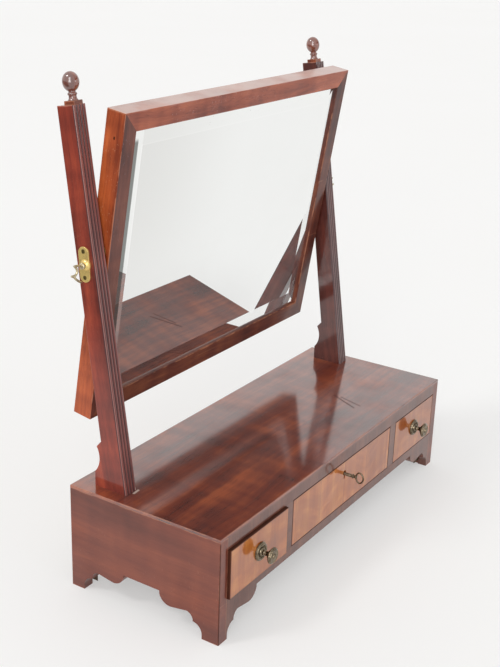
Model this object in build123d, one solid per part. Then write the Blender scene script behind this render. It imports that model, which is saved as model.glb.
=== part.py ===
from build123d import *
import math
import os

# A dressing table mirror. A low box with three drawers carries two raked uprights, and a
# framed mirror swings between them on two thumbscrews. All lengths are in millimetres.
# X runs to the right as seen from the front, Y to the back and Z up. The origin is on the
# table, under the middle of the box.

# Box
box_w = 530.0
box_d = 202.0
box_h = 127.0
end_t = 14.0
top_edge_t = 3.0
top_body_t = 6.0
back_t = 10.0
bottom_t = 7.0
rail_d = 24.0
rail_h = 14.5
apron_t = 12.0
divider_t = 15.0
sill_z = 50.0
side_opening_w = 115.0
arris_r = 0.8

# Sawn feet and brackets, measured from the toe of a bracket inwards and from the table up
front_foot_w = 21.5
rear_foot_w = 18.0
apron_toe_w = 2.0
toe_rise = 5.0
cusp_run = 12.0
cusp_z = 17.5
apex_run = 20.0
apex_z = 27.5
lobe_run = 40.0
lobe_z = 24.2
step_run = 56.5
step_z = 35.0
flat_z = 38.5

# Blocks under and behind the drawers
glue_block_w = 16.0
glue_block_z = 6.0
stop_w = 24.0
stop_h = 10.0

# Uprights
upright_inset = 16.0
upright_t = 18.5
upright_setback = 137.4
upright_h = 413.8
upright_top_d = 20.8
upright_foot_d = 41.4
front_rake = 8.55
rear_rake = 7.98
scroll_h = 55.0
scroll_cusp_h = 48.2
scroll_cusp_out = 5.9
scroll_hollow_h = 35.0
scroll_hollow_out = 2.0
scroll_heel_h = 17.5
reed_count = 4
reed_h = 1.7
reed_root = 0.6
tenon_t = 10.0
tenon_d = 30.0
tenon_h = top_body_t

# Finials
finial_forward = 3.0
finial_inward = 1.2
plinth_w = 13.0
plinth_h = 4.0
plinth_arris = 0.4
neck_r = 4.1
neck_foot_r = 5.2
neck_h = 4.8
neck_waist_up = 1.6
ring_r = 4.95
ring_h = 3.0
throat_h = 1.4
ball_r = 8.65
ball_half_h = 10.25
dowel_r = 2.5
dowel_l = 9.0

# Mirror frame, in its own upright position about the pivot
frame_above = 160.3
frame_below = 188.4
frame_t = 24.1
frame_face_w = 21.3
frame_lip_t = 4.5
frame_lip_bevel = 1.0
frame_tilt = 8.95
pivot_h = 252.3
rebate_w = 7.0
glass_t = 4.5
glass_bevel_w = 16.0
glass_bevel_t = 1.5
glass_gap = 0.5
slip_w = 6.0
slip_t = 7.0
backboard_t = 6.0
backboard_bevel_w = 14.0
backboard_edge_t = 4.0
nail_head_r = 1.5
nail_head_t = 0.6
nail_r = 0.7
nail_l = 10.0
nail_rows = 3
nail_columns = 4

# Pivot fittings
plate_l = 38.0
plate_w = 13.6
plate_t = 1.4
plate_edge_r = 0.45
plate_lean = 3.5
plate_backward = 1.8
plate_screw_out = 14.0
dome_r = 6.2
dome_h = 3.6
thumb_r = 2.5
thumb_reach = 8.0
hub_r = 3.6
hub_t = 3.0
nut_plate_l = 36.0
nut_plate_w = 13.0
nut_plate_t = 1.4
nut_plate_screw_out = 12.5
nut_boss_r = 5.2

# Scrolled handle of the thumbscrew: distance out from the upright, and height over the axis
handle_rod_r = 1.35
handle_ball_r = 2.3
handle_ball = (18.0, 2.6)
handle_arm_mid = (13.5, 2.0)
handle_hollow = (13.7, -4.2)
handle_fork = (19.2, -7.9)
handle_tip = (23.6, -6.6)
handle_tail_mid = (14.0, -13.4)
handle_tail = (6.8, -17.2)

# Drawers
drawer_rear_gap = 12.0
drawer_side_gap = 0.6
drawer_top_gap = 0.7
front_t = 13.0
front_edge_r = 0.5
side_t = 7.0
side_drop = 2.0
drawer_back_drop = 5.0
drawer_back_inset = 3.0
panel_t = 4.0
panel_up = 4.0
groove_d = 3.0
lap_t = 4.0
tail_count = 2
tail_root_h = 12.0
tail_flare = 2.0
left_drawer_ajar = 3.5

# Knobs
knob_up = 1.6
rose_r = 10.8
rose_rim_t = 1.4
rose_rim_w = 0.9
rose_bead_t = 3.3
rose_bead_r = 8.6
rose_dish_r = 7.0
rose_dome_r = 5.4
rose_h = 4.6
knob_post_r = 2.0
knob_collar_r = 3.4
knob_collar_t = 1.6
knob_waist_r = 2.6
knob_waist_h = 8.6
knob_back_r = 5.0
knob_back_h = 11.6
knob_disc_r = 9.0
knob_disc_back_h = 14.6
knob_disc_t = 2.4
knob_edge_bulge = 0.5
knob_face_h = 18.2
knob_face_r = 7.6
knob_dish = 0.7
knob_boss_r = 2.8
knob_boss_h = 1.4
knob_nut_w = 9.0
knob_nut_t = 3.5
knob_post_end = 1.2

# Lock and key of the centre drawer
lock_w = 42.0
lock_h = 32.0
lock_plate_t = 1.5
lock_body_w = 30.0
lock_body_h = 28.0
lock_depth = 8.5
lock_wall_t = 1.5
key_drop = 16.5
bolt_w = 18.0
bolt_head_w = 12.0
bolt_t = 2.5
bolt_tail = 8.0
bolt_travel = 4.3
tab_w = 4.0
tab_up = 2.8
tab_h = 2.5
key_stem_r = 2.0
bit_r = 6.5
bit_w = 2.0
bit_t = 2.4
bow_out = 20.5
bow_half_h = 7.2
bow_half_w = 4.9
bow_wire_r = 1.05
key_collar_r = 2.9
key_collar_t = 1.4
key_collar_out = 11.0
keyhole_r = 3.3
keyhole_up = 1.0
keyhole_slot_w = 2.8
keyhole_slot_l = 6.8
lock_screw_out = 18.0

# Screws
upright_screw_head_r = 3.4
upright_screw_r = 1.7
upright_screw_l = 28.0
upright_screw_pitch = 17.0
plate_screw_head_r = 2.4
plate_screw_r = 1.2
plate_screw_l = 9.0
nut_plate_screw_head_r = 2.1
nut_plate_screw_r = 1.1
nut_plate_screw_l = 8.0
lock_screw_head_r = 1.9
lock_screw_r = 0.9
lock_screw_l = 7.0
slot_share = 0.3

# Clearances, and how far a cut runs past what it cuts
running = 0.05
slide_gap = 0.3
hole_gap = 0.3
joint_gap = 0.3
screw_gap = 0.03
mortise_gap = 0.5
side_gap = 2.5
overcut = 1.0

# Places worked out from the sizes
front_y = -box_d / 2
back_y = box_d / 2
inner_x = box_w / 2 - end_t
back_inner_y = back_y - back_t
top_under_z = box_h - top_edge_t
opening_z = top_under_z - rail_h
opening_h = opening_z - sill_z
body_under_z = top_under_z - top_body_t
centre_opening_w = 2 * inner_x - 2 * side_opening_w - 2 * divider_t
divider_x = centre_opening_w / 2 + divider_t / 2
side_drawer_x = inner_x - side_opening_w / 2
upright_out_x = box_w / 2 - upright_inset
upright_in_x = upright_out_x - upright_t
upright_mid_x = upright_out_x - upright_t / 2
upright_front_y = front_y + upright_setback
stile_x = upright_in_x - side_gap
drawer_l = back_inner_y - drawer_rear_gap - front_y
front_h = opening_h - slide_gap - drawer_top_gap
side_h = front_h - side_drop
key_z = front_h - key_drop
quarter = math.sqrt(0.5)

# Screws by head radius, shank radius and length
upright_screw = (upright_screw_head_r, upright_screw_r, upright_screw_l)
plate_screw = (plate_screw_head_r, plate_screw_r, plate_screw_l)
nut_plate_screw = (nut_plate_screw_head_r, nut_plate_screw_r, nut_plate_screw_l)
lock_screw = (lock_screw_head_r, lock_screw_r, lock_screw_l)


def block(x0, x1, y0, y1, z0, z1):
    """A box between two opposite corners."""
    middle = Pos((x0 + x1) / 2, (y0 + y1) / 2, (z0 + z1) / 2)
    return middle * Box(abs(x1 - x0), abs(y1 - y0), abs(z1 - z0))


def face_of(start, *steps):
    """A flat face. Each step is the next corner, or the middle and the end of an arc."""
    edges = []
    here = start
    for step in steps:
        if isinstance(step[0], tuple):
            edges.append(ThreePointArc(here, step[0], step[1]))
            here = step[1]
        else:
            edges.append(Line(here, step))
            here = step
    edges.append(Line(here, start))
    return make_face(Curve() + edges)


def turned(start, *steps):
    """A turned piece from its half outline: radius, then height along Z."""
    return revolve(Plane.XZ * face_of(start, *steps), Axis.Z, 360)


def rod(path, radius):
    """A round rod along a path that lies in one plane."""
    start = Plane(origin=path @ 0, z_dir=path % 0)
    return sweep(start * Circle(radius), path=path)


def screw(spec, slack=0.0):
    """A countersunk screw along Z with its head on top at zero, or with slack its hole."""
    head_r, shank_r, length = spec
    head_h = head_r - shank_r
    shank = Pos(0, 0, -length / 2 - slack) * Cylinder(shank_r + slack, length)
    cone = turned((0, 0), (head_r + slack, 0), (shank_r + slack, -head_h - slack), (0, -head_h))
    whole = shank + cone
    if slack == 0.0:
        slot_w = head_r * slot_share
        whole -= Pos(0, 0, -slot_w / 2) * Box(2 * head_r, slot_w, slot_w)
    return whole


def dome_arc(radius, base_z, height):
    """The middle and the end of a dome's half outline, which meets the axis level."""
    sphere_r = (radius ** 2 + height ** 2) / (2 * height)
    half = math.atan2(radius, sphere_r - height) / 2
    top_z = base_z + height
    return ((sphere_r * math.sin(half), top_z - sphere_r * (1 - math.cos(half))), (0, top_z))


def other_side(shape):
    """The same piece for the left-hand side."""
    return mirror(shape, about=Plane.YZ)


def round_arch(start, end):
    """The middle of a quarter arc that first rises and then runs level."""
    return (start[0] + (end[0] - start[0]) * (1 - quarter), start[1] + (end[1] - start[1]) * quarter)


def round_belly(start, end):
    """The middle of a quarter arc that first runs level and then rises."""
    return (start[0] + (end[0] - start[0]) * quarter, start[1] + (end[1] - start[1]) * (1 - quarter))


def bracket_points(toe, way):
    """The corners of a bracket's sawn edge, from its toe up to the flat of the apron."""
    runs = (0, cusp_run, apex_run, lobe_run, step_run, step_run)
    heights = (toe_rise, cusp_z, apex_z, lobe_z, step_z, flat_z)
    return [(toe + way * run, height) for run, height in zip(runs, heights)]


def apron_opening(toe_a, toe_b):
    """The hollow sawn out between two brackets, reaching below the table."""
    rise, cusp, apex, lobe, step, flat = bracket_points(toe_a, 1)
    rise_b, cusp_b, apex_b, lobe_b, step_b, flat_b = bracket_points(toe_b, -1)
    below = -toe_rise
    return face_of(
        (toe_a, below), rise,
        (round_arch(rise, cusp), cusp), (round_arch(cusp, apex), apex), lobe,
        (round_belly(lobe, step), step), flat,
        flat_b, step_b, (round_belly(lobe_b, step_b), lobe_b), apex_b,
        (round_arch(cusp_b, apex_b), cusp_b), (round_arch(rise_b, cusp_b), rise_b),
        (toe_b, below),
    )


def end_board():
    """The right end board, with its two feet sawn from the one piece."""
    board = block(inner_x, box_w / 2, front_y, back_y, 0, top_under_z)
    outer = board.edges().filter_by(Axis.Z).group_by(Axis.X)[-1]
    board = fillet(outer, arris_r)
    hollow = apron_opening(front_y + front_foot_w, back_y - rear_foot_w)
    return board - Plane.YZ * Pos(0, 0, inner_x - overcut) * extrude(hollow, end_t + 2 * overcut)


def front_apron():
    """The board under the drawers, with a bracket against each end board."""
    board = block(-inner_x, inner_x, front_y, front_y + apron_t, 0, sill_z)
    toe = inner_x - apron_toe_w
    hollow = extrude(apron_opening(-toe, toe), apron_t + overcut, both=True)
    return board - Pos(0, front_y, 0) * (Plane.XZ * hollow)


def front_rail():
    """The rail over the drawers, with a mortise for the lock bolt."""
    rail = block(-inner_x, inner_x, front_y, front_y + rail_d, opening_z, top_under_z)
    half = bolt_head_w / 2 + mortise_gap
    y0 = front_y + bolt_y() - mortise_gap
    y1 = front_y + bolt_y() + bolt_t + mortise_gap
    return rail - block(-half, half, y0, y1, opening_z, opening_z + bolt_travel + mortise_gap)


def upright_tenon():
    """The stub tenon under the right upright."""
    y0 = upright_front_y + (upright_foot_d - tenon_d) / 2
    half = tenon_t / 2
    low = box_h - tenon_h
    return block(upright_mid_x - half, upright_mid_x + half, y0, y0 + tenon_d, low, box_h)


def upright_screw_places():
    """Where the two screws enter the right upright from under the top."""
    middle = upright_front_y + upright_foot_d / 2
    ys = (middle - upright_screw_pitch / 2, middle + upright_screw_pitch / 2)
    return [Pos(upright_mid_x, y, body_under_z) * Rot(180, 0, 0) for y in ys]


def base_top():
    """The top board: a thin edge over the box and a thicker body let in between its walls."""
    edge = block(-box_w / 2, box_w / 2, front_y, back_y, top_under_z, box_h)
    edge = fillet(edge.edges().filter_by(Axis.Z), arris_r)
    edge = fillet(edge.faces().sort_by(Axis.Z)[-1].edges(), arris_r)
    top = edge + block(-inner_x, inner_x, front_y + rail_d, back_inner_y, body_under_z, top_under_z)
    cutter = upright_tenon()
    for place in upright_screw_places():
        cutter += place * screw(upright_screw, screw_gap)
    return top - cutter - other_side(cutter)


def divider():
    """The right-hand board between two drawers, notched under the front rail."""
    outline = face_of(
        (front_y, sill_z), (back_inner_y, sill_z), (back_inner_y, body_under_z),
        (front_y + rail_d, body_under_z), (front_y + rail_d, opening_z), (front_y, opening_z),
    )
    return Pos(divider_x - divider_t / 2, 0, 0) * (Plane.YZ * extrude(outline, divider_t))


def glue_blocks():
    """Four three-cornered blocks in the corners behind the feet."""
    corners = ((front_y + apron_t, 1), (back_inner_y, -1))
    high = sill_z - bottom_t
    blocks = []
    for corner_y, way in corners:
        triangle = face_of(
            (inner_x, corner_y), (inner_x, corner_y + way * glue_block_w), (inner_x - glue_block_w, corner_y)
        )
        right = Pos(0, 0, glue_block_z) * extrude(triangle, high - glue_block_z)
        blocks += [right, other_side(right)]
    return Compound(children=[piece.solid() for piece in blocks])


def drawer_stops():
    """One small block behind each drawer, where it stops when it is shut."""
    y0 = front_y + drawer_l + slide_gap
    blocks = []
    for x in (-side_drawer_x, 0, side_drawer_x):
        blocks.append(block(x - stop_w / 2, x + stop_w / 2, y0, back_inner_y, sill_z, sill_z + stop_h))
    return Compound(children=[piece.solid() for piece in blocks])


def upright_corners():
    """The upright's outline without its reeds: front foot, front top, rear top, shoulder."""
    front_foot = (upright_front_y, box_h)
    run = upright_h * math.tan(math.radians(front_rake))
    front_top = (upright_front_y + run, box_h + upright_h)
    lean = math.radians(front_rake)
    rear_top = (
        front_top[0] + upright_top_d * math.cos(lean),
        front_top[1] - upright_top_d * math.sin(lean),
    )
    fall = rear_top[1] - box_h - scroll_h
    shoulder = (rear_top[0] - fall * math.tan(math.radians(rear_rake)), box_h + scroll_h)
    return front_foot, front_top, rear_top, shoulder


def pivot_y():
    """The middle of the upright, with its reeds, at the height of the pivot."""
    front_foot, front_top, rear_top, shoulder = upright_corners()
    front = front_foot[0] + pivot_h * math.tan(math.radians(front_rake))
    rear = shoulder[0] + (pivot_h - scroll_h) * math.tan(math.radians(rear_rake))
    return (front + rear - reed_h) / 2


def along_pivot(shape):
    """Set a piece that was made along Z on the pivot axis, pointing to the right."""
    return Pos(0, pivot_y(), box_h + pivot_h) * Rot(0, 90, 0) * shape


def upright_reeds():
    """The rounded reeds down the front of the right upright."""
    width = upright_t / reed_count
    steps = []
    for index in range(reed_count):
        x = index * width - upright_t / 2
        steps.append(((x + width / 2, -reed_h), (x + width, 0)))
    half = upright_t / 2
    outline = face_of((-half, 0), *steps, (half, reed_root), (-half, reed_root))
    front_foot, front_top, rear_top, shoulder = upright_corners()
    lean = math.radians(front_rake)
    along = (0, math.sin(lean), math.cos(lean))
    start = (upright_mid_x, front_foot[0], front_foot[1])
    overrun = upright_top_d
    lower_end = Plane(origin=start, x_dir=(1, 0, 0), z_dir=along).offset(-overrun)
    bars = lower_end * extrude(outline, overrun + upright_h / math.cos(lean))
    return bars - block(0, box_w, front_y, back_y, 0, box_h)


def upright():
    """The right upright: raked, tapered, reeded in front and scrolled behind at its foot."""
    front_foot, front_top, rear_top, shoulder = upright_corners()
    heel_y = upright_front_y + upright_foot_d
    cusp = (shoulder[0] + scroll_cusp_out, box_h + scroll_cusp_h)
    hollow = (shoulder[0] + scroll_hollow_out, box_h + scroll_hollow_h)
    outline = face_of(
        front_foot, front_top, rear_top, shoulder, cusp,
        (hollow, (heel_y, box_h + scroll_heel_h)), (heel_y, box_h),
    )
    body = Pos(upright_in_x, 0, 0) * (Plane.YZ * extrude(outline, upright_t))
    long_edges = [edge for edge in body.edges() if edge.length > upright_h / 2]
    body = fillet([edge for edge in long_edges if edge.center().Y > pivot_y()], arris_r)
    whole = body + upright_reeds() + upright_tenon()
    bore = along_pivot(Pos(0, 0, upright_mid_x) * Cylinder(thumb_r + hole_gap, upright_t + 2 * overcut))
    whole -= bore
    whole -= on_upright(Pos(0, 0, -dowel_l / 2) * Cylinder(dowel_r + screw_gap, dowel_l))
    for place in upright_screw_places():
        whole -= place * screw(upright_screw, screw_gap)
    for place in plate_screw_places():
        whole -= place * screw(plate_screw, screw_gap)
    return whole


def on_upright(shape):
    """Set a turned piece on the sloping top of the right upright."""
    front_foot, front_top, rear_top, shoulder = upright_corners()
    middle = ((front_top[0] + rear_top[0]) / 2, (front_top[1] + rear_top[1]) / 2)
    place = Pos(upright_mid_x, middle[0], middle[1]) * Rot(-front_rake, 0, 0)
    return place * Pos(-finial_inward, -finial_forward, 0) * shape


def finial_plinth():
    """The small square block under the finial."""
    plinth = Pos(0, 0, plinth_h / 2) * Box(plinth_w, plinth_w, plinth_h)
    plinth = chamfer(plinth.faces().sort_by(Axis.Z)[-1].edges(), plinth_arris)
    return on_upright(plinth - Pos(0, 0, plinth_h / 2) * Cylinder(dowel_r + screw_gap, plinth_h))


def finial():
    """The turned finial: dowel, neck, ring and a ball a little taller than it is wide."""
    neck_z = plinth_h + neck_h
    ring_z = neck_z + ring_h
    throat_z = ring_z + throat_h
    ball_z = throat_z + ball_half_h * math.sqrt(1 - (neck_r / ball_r) ** 2)
    start = math.degrees(math.asin((throat_z - ball_z) / ball_half_h))
    ball = EllipticalCenterArc((0, ball_z), ball_r, ball_half_h, start, arc_size=90 - start)
    low = hole_gap - dowel_l
    edges = [
        Polyline((0, low), (dowel_r, low), (dowel_r, plinth_h), (neck_foot_r, plinth_h)),
        ThreePointArc((neck_foot_r, plinth_h), (neck_r, plinth_h + neck_waist_up), (neck_r, neck_z)),
        ThreePointArc((neck_r, neck_z), (ring_r, neck_z + ring_h / 2), (neck_r, ring_z)),
        Line((neck_r, ring_z), ball @ 0),
        ball,
        Line((0, ball_z + ball_half_h), (0, low)),
    ]
    return on_upright(revolve(Plane.XZ * make_face(Curve() + edges), Axis.Z, 360))


def on_plate(shape):
    """Set a piece on the outer face of the right upright, just behind the pivot and a little raked."""
    place = Pos(upright_out_x, pivot_y() + plate_backward, box_h + pivot_h)
    return place * Rot(-plate_lean, 0, 0) * shape


def plate_screw_places():
    """Where the two screws go through the right pivot plate."""
    return [on_plate(Pos(plate_t, 0, up) * Rot(0, 90, 0)) for up in (-plate_screw_out, plate_screw_out)]


def pivot_plate():
    """The brass plate on the outside of the right upright, with a domed boss round the pivot."""
    upward = Plane(origin=(0, 0, 0), x_dir=(0, 0, 1), z_dir=(1, 0, 0))
    plate = upward * extrude(SlotOverall(plate_l, plate_w), plate_t)
    plate = fillet(plate.faces().sort_by(Axis.X)[-1].edges(), plate_edge_r)
    dome = turned((0, 0), (dome_r, 0), (dome_r, plate_t), dome_arc(dome_r, plate_t, dome_h))
    whole = on_plate(plate) + along_pivot(Pos(0, 0, upright_out_x) * dome)
    for place in plate_screw_places():
        whole -= place * screw(plate_screw, screw_gap)
    bore_l = 2 * (plate_t + dome_h + overcut)
    return whole - along_pivot(Pos(0, 0, upright_out_x) * Cylinder(thumb_r + running, bore_l))


def thumbscrew():
    """The right thumbscrew: its pin passes the upright and ends in the stile of the mirror."""
    inner = stile_x - thumb_reach
    hub_x = upright_out_x + plate_t + dome_h + joint_gap
    pin = Pos(0, 0, (inner + hub_x) / 2) * Cylinder(thumb_r, hub_x - inner)
    hub = turned((0, 0), (hub_r, 0), (hub_r, hub_t / 2), dome_arc(hub_r, hub_t / 2, hub_t))
    whole = along_pivot(pin + Pos(0, 0, hub_x) * hub)

    def at(place):
        return (upright_out_x + place[0], pivot_y(), box_h + pivot_h + place[1])

    arm = ThreePointArc(at((hub_x - upright_out_x + hub_t / 2, 0)), at(handle_arm_mid), at(handle_ball))
    hollow = ThreePointArc(at(handle_ball), at(handle_hollow), at(handle_fork))
    beak = Line(at(handle_fork), at(handle_tip))
    tail = ThreePointArc(at(handle_fork), at(handle_tail_mid), at(handle_tail))
    for path in (arm, hollow, beak, tail):
        whole += rod(path, handle_rod_r)
    whole += Pos(*at(handle_ball)) * Sphere(handle_ball_r)
    whole += Pos(*at(handle_fork)) * Sphere(handle_rod_r)
    for end in (handle_tip, handle_tail):
        whole += Pos(*at(end)) * Sphere(handle_rod_r)
    return whole


def tilted(shape):
    """Swing a piece of the mirror from its upright position to where it rests."""
    return Pos(0, pivot_y(), box_h + pivot_h) * Rot(frame_tilt, 0, 0) * shape


def frame_ring():
    """The whole mirror frame before it is cut at its mitres, with its rebate behind."""
    half_t = frame_t / 2
    ring = block(-stile_x, stile_x, -half_t, half_t, -frame_below, frame_above)
    ring = fillet(ring.edges(), arris_r)
    sight_x = stile_x - frame_face_w
    low, high = frame_face_w - frame_below, frame_above - frame_face_w
    ring -= block(-sight_x, sight_x, -half_t, half_t, low, high)
    sight_edges = [edge for wire in ring.faces().sort_by(Axis.Y)[0].inner_wires() for edge in wire.edges()]
    ring = chamfer(sight_edges, frame_lip_bevel)
    wide = sight_x + rebate_w
    return ring - block(-wide, wide, frame_lip_t - half_t, half_t, low - rebate_w, high + rebate_w)


def frame_members():
    """The two rails and two stiles of the mirror frame, cut from the ring at 45 degrees."""
    ring = frame_ring()
    top, low, side, w = frame_above, -frame_below, stile_x, frame_face_w
    outlines = {
        "frame_top_rail": ((-side, top), (side, top), (side - w, top - w), (w - side, top - w)),
        "frame_bottom_rail": ((-side, low), (side, low), (side - w, low + w), (w - side, low + w)),
        "frame_left_stile": ((-side, low), (-side, top), (w - side, top - w), (w - side, low + w)),
        "frame_right_stile": ((side, low), (side, top), (side - w, top - w), (side - w, low + w)),
    }
    members = {}
    for name, corners in outlines.items():
        wedge = extrude(Plane.XZ * face_of(*corners), frame_t, both=True)
        members[name] = ring & wedge
    seat = nut_plate_seat()
    members["frame_right_stile"] -= seat
    members["frame_left_stile"] -= other_side(seat)
    return {name: tilted(member) for name, member in members.items()}


def nut_plate_blank(slack=0.0):
    """The plate let into the right stile, pointing outwards along X."""
    upward = Plane(origin=(stile_x - nut_plate_t, 0, 0), x_dir=(0, 0, 1), z_dir=(1, 0, 0))
    return upward * extrude(SlotOverall(nut_plate_l + 2 * slack, nut_plate_w + 2 * slack), nut_plate_t)


def nut_plate_screw_places():
    """Where the two screws go through the right nut plate."""
    ups = (-nut_plate_screw_out, nut_plate_screw_out)
    return [Pos(stile_x, 0, up) * Rot(0, 90, 0) for up in ups]


def nut_plate_seat():
    """What is cut from the right stile for its nut plate, the thumbscrew's end and the screws."""
    depth = thumb_reach + slide_gap
    cut = nut_plate_blank(screw_gap)
    cut += Pos(stile_x - depth / 2, 0, 0) * Rot(0, 90, 0) * Cylinder(thumb_r + hole_gap, depth)
    for place in nut_plate_screw_places():
        cut += place * screw(nut_plate_screw, screw_gap)
    return cut


def nut_plate():
    """The brass plate that takes the right thumbscrew, with a boss that nearly fills the gap."""
    boss_t = side_gap - joint_gap
    boss = Pos(stile_x + boss_t / 2, 0, 0) * Rot(0, 90, 0) * Cylinder(nut_boss_r, boss_t)
    bore_l = 2 * (nut_plate_t + boss_t + overcut)
    hole = Pos(stile_x, 0, 0) * Rot(0, 90, 0) * Cylinder(thumb_r + running, bore_l)
    plate = nut_plate_blank() + boss - hole
    for place in nut_plate_screw_places():
        plate -= place * screw(nut_plate_screw, screw_gap)
    return tilted(plate)


def glass_bounds():
    """Half width, lowest and highest edge of what lies in the frame's rebate."""
    wide = stile_x - frame_face_w + rebate_w - glass_gap
    low = frame_face_w - frame_below - rebate_w + glass_gap
    high = frame_above - frame_face_w + rebate_w - glass_gap
    return wide, low, high


def rebate_rectangle(y, inset):
    """A rectangle behind the pivot by y, smaller than what lies in the rebate by an inset all round."""
    wide, low, high = glass_bounds()
    place = Plane(origin=(0, y, (low + high) / 2), x_dir=(1, 0, 0), z_dir=(0, -1, 0))
    return place * Rectangle(2 * (wide - inset), high - low - 2 * inset)


def mirror_glass():
    """The plate with its wide bevel, face against the lip of the frame."""
    wide, low, high = glass_bounds()
    front = frame_lip_t - frame_t / 2
    slab = block(-wide, wide, front + glass_bevel_t, front + glass_t, low, high)
    inset = rebate_w - glass_gap + glass_bevel_w
    raised = loft([rebate_rectangle(front + glass_bevel_t, 0), rebate_rectangle(front, inset)])
    return tilted(slab + raised)


def glass_slips():
    """Four strips behind the glass, which hold it against the lip."""
    wide, low, high = glass_bounds()
    y0 = frame_lip_t + glass_t - frame_t / 2
    y1 = y0 + slip_t
    strips = [
        block(-wide, wide, y0, y1, high - slip_w, high),
        block(-wide, wide, y0, y1, low, low + slip_w),
        block(-wide, slip_w - wide, y0, y1, low + slip_w, high - slip_w),
        block(wide - slip_w, wide, y0, y1, low + slip_w, high - slip_w),
    ]
    holes = nails(screw_gap)
    return tilted(Compound(children=[solid for strip in strips for solid in (strip - holes).solids()]))


def backboard_y():
    """How far behind the pivot the front of the frame's back board lies."""
    return frame_lip_t + glass_t + slip_t - frame_t / 2


def nail_places():
    """Where the nails go in round the back board, in its upright position."""
    wide, low, high = glass_bounds()
    x_out, z_low, z_high = wide - slip_w / 2, low + slip_w / 2, high - slip_w / 2
    places = []
    for column in range(nail_columns):
        x = x_out * (2 * (column + 0.5) / nail_columns - 1)
        places += [(x, z_low), (x, z_high)]
    for row in range(nail_rows):
        z = z_low + (z_high - z_low) * (row + 0.5) / nail_rows
        places += [(-x_out, z), (x_out, z)]
    return places


def nails(slack=0.0):
    """All the nails of the back board, or with slack their holes."""
    rear = backboard_y() + backboard_edge_t
    solids = []
    for x, z in nail_places():
        shank = Pos(0, 0, -nail_l / 2) * Cylinder(nail_r + slack, nail_l + 2 * slack)
        head = Pos(0, 0, nail_head_t / 2) * Cylinder(nail_head_r, nail_head_t)
        solids.append((Pos(x, rear, z) * Rot(-90, 0, 0) * (shank + head)).solid())
    return Compound(children=solids)


def backboard():
    """The thin board behind the glass, thinned all round like a fielded panel."""
    wide, low, high = glass_bounds()
    front = backboard_y()
    edge = block(-wide, wide, front, front + backboard_edge_t, low, high)
    foot = rebate_rectangle(front + backboard_edge_t, backboard_bevel_w / 2)
    field = loft([foot, rebate_rectangle(front + backboard_t, backboard_bevel_w)])
    return tilted(edge + field - nails(screw_gap))


def lies_in_drawer(x, ajar):
    """Set a drawer's piece, made from the front face back and from the underside up."""
    return Pos(x, front_y - ajar, sill_z + slide_gap)


def bolt_y():
    """How far behind the drawer's face the lock bolt lies."""
    return front_t - lock_plate_t - bolt_t - joint_gap


def drawer_side(width, way):
    """One side of a drawer, with its dovetails in front and the groove for the bottom."""
    x0, x1 = way * (width / 2 - side_t), way * width / 2
    side = block(x0, x1, front_t, drawer_l, 0, side_h)
    pitch = (side_h - panel_up - panel_t) / tail_count
    for index in range(tail_count):
        middle = panel_up + panel_t + pitch * (index + 0.5)
        root, end = tail_root_h / 2, tail_root_h / 2 + tail_flare
        tail = face_of(
            (front_t, middle - root), (front_t, middle + root), (lap_t, middle + end), (lap_t, middle - end)
        )
        side += Pos(min(x0, x1), 0, 0) * (Plane.YZ * extrude(tail, side_t))
    groove_x = way * (width / 2 - side_t + groove_d)
    return side - block(x0, groove_x, front_t, drawer_l, panel_up, panel_up + panel_t)


def drawer_front(width):
    """The front of a drawer, housed for its sides and grooved for its bottom."""
    board = block(-width / 2, width / 2, 0, front_t, 0, front_h)
    board = fillet(board.faces().sort_by(Axis.Y)[0].edges(), front_edge_r)
    board -= drawer_side(width, 1) + drawer_side(width, -1)
    half = width / 2 - side_t + groove_d
    return board - block(-half, half, front_t - groove_d, front_t, panel_up, panel_up + panel_t)


def drawer_back(width):
    """The back of a drawer, between the sides and on top of the bottom."""
    half = width / 2 - side_t
    y1 = drawer_l - drawer_back_inset
    return block(-half, half, y1 - side_t, y1, panel_up + panel_t, side_h - drawer_back_drop)


def drawer_bottom(width):
    """The bottom of a drawer, slid into its grooves from behind."""
    half = width / 2 - side_t + groove_d
    return block(-half, half, front_t - groove_d, drawer_l, panel_up, panel_up + panel_t)


def drawer(name, x, opening_w, ajar, front_cut):
    """The five boards of a drawer, in their places."""
    width = opening_w - 2 * drawer_side_gap
    place = lies_in_drawer(x, ajar)
    return {
        f"drawer_{name}_front": place * (drawer_front(width) - front_cut),
        f"drawer_{name}_side_left": place * drawer_side(width, -1),
        f"drawer_{name}_side_right": place * drawer_side(width, 1),
        f"drawer_{name}_back": place * drawer_back(width),
        f"drawer_{name}_bottom": place * drawer_bottom(width),
    }


def on_front(shape):
    """Set a piece made along Z on the middle of a drawer's face, pointing forwards."""
    return Pos(0, 0, front_h / 2 + knob_up) * Rot(90, 0, 0) * shape


def knob_hole():
    """The hole for a knob's post, right through the drawer front."""
    return on_front(Pos(0, 0, -front_t / 2) * Cylinder(knob_post_r + screw_gap, front_t))


def knob_rose():
    """The round back plate of a knob: thin rim, bead, dished ring and a low dome."""
    bore = knob_post_r + screw_gap
    rim_in = rose_r - rose_rim_w
    bead = ((rose_bead_r, rose_bead_t), (rose_dish_r, rose_rim_t))
    dome_foot = (rose_dome_r, rose_rim_t)
    dome_top = (knob_collar_r, rose_h)
    rose = turned(
        (bore, 0), (rose_r, 0), (rose_r, rose_rim_t), (rim_in, rose_rim_t), bead,
        dome_foot, (round_arch(dome_foot, dome_top), dome_top), (bore, rose_h),
    )
    return on_front(rose)


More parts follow.
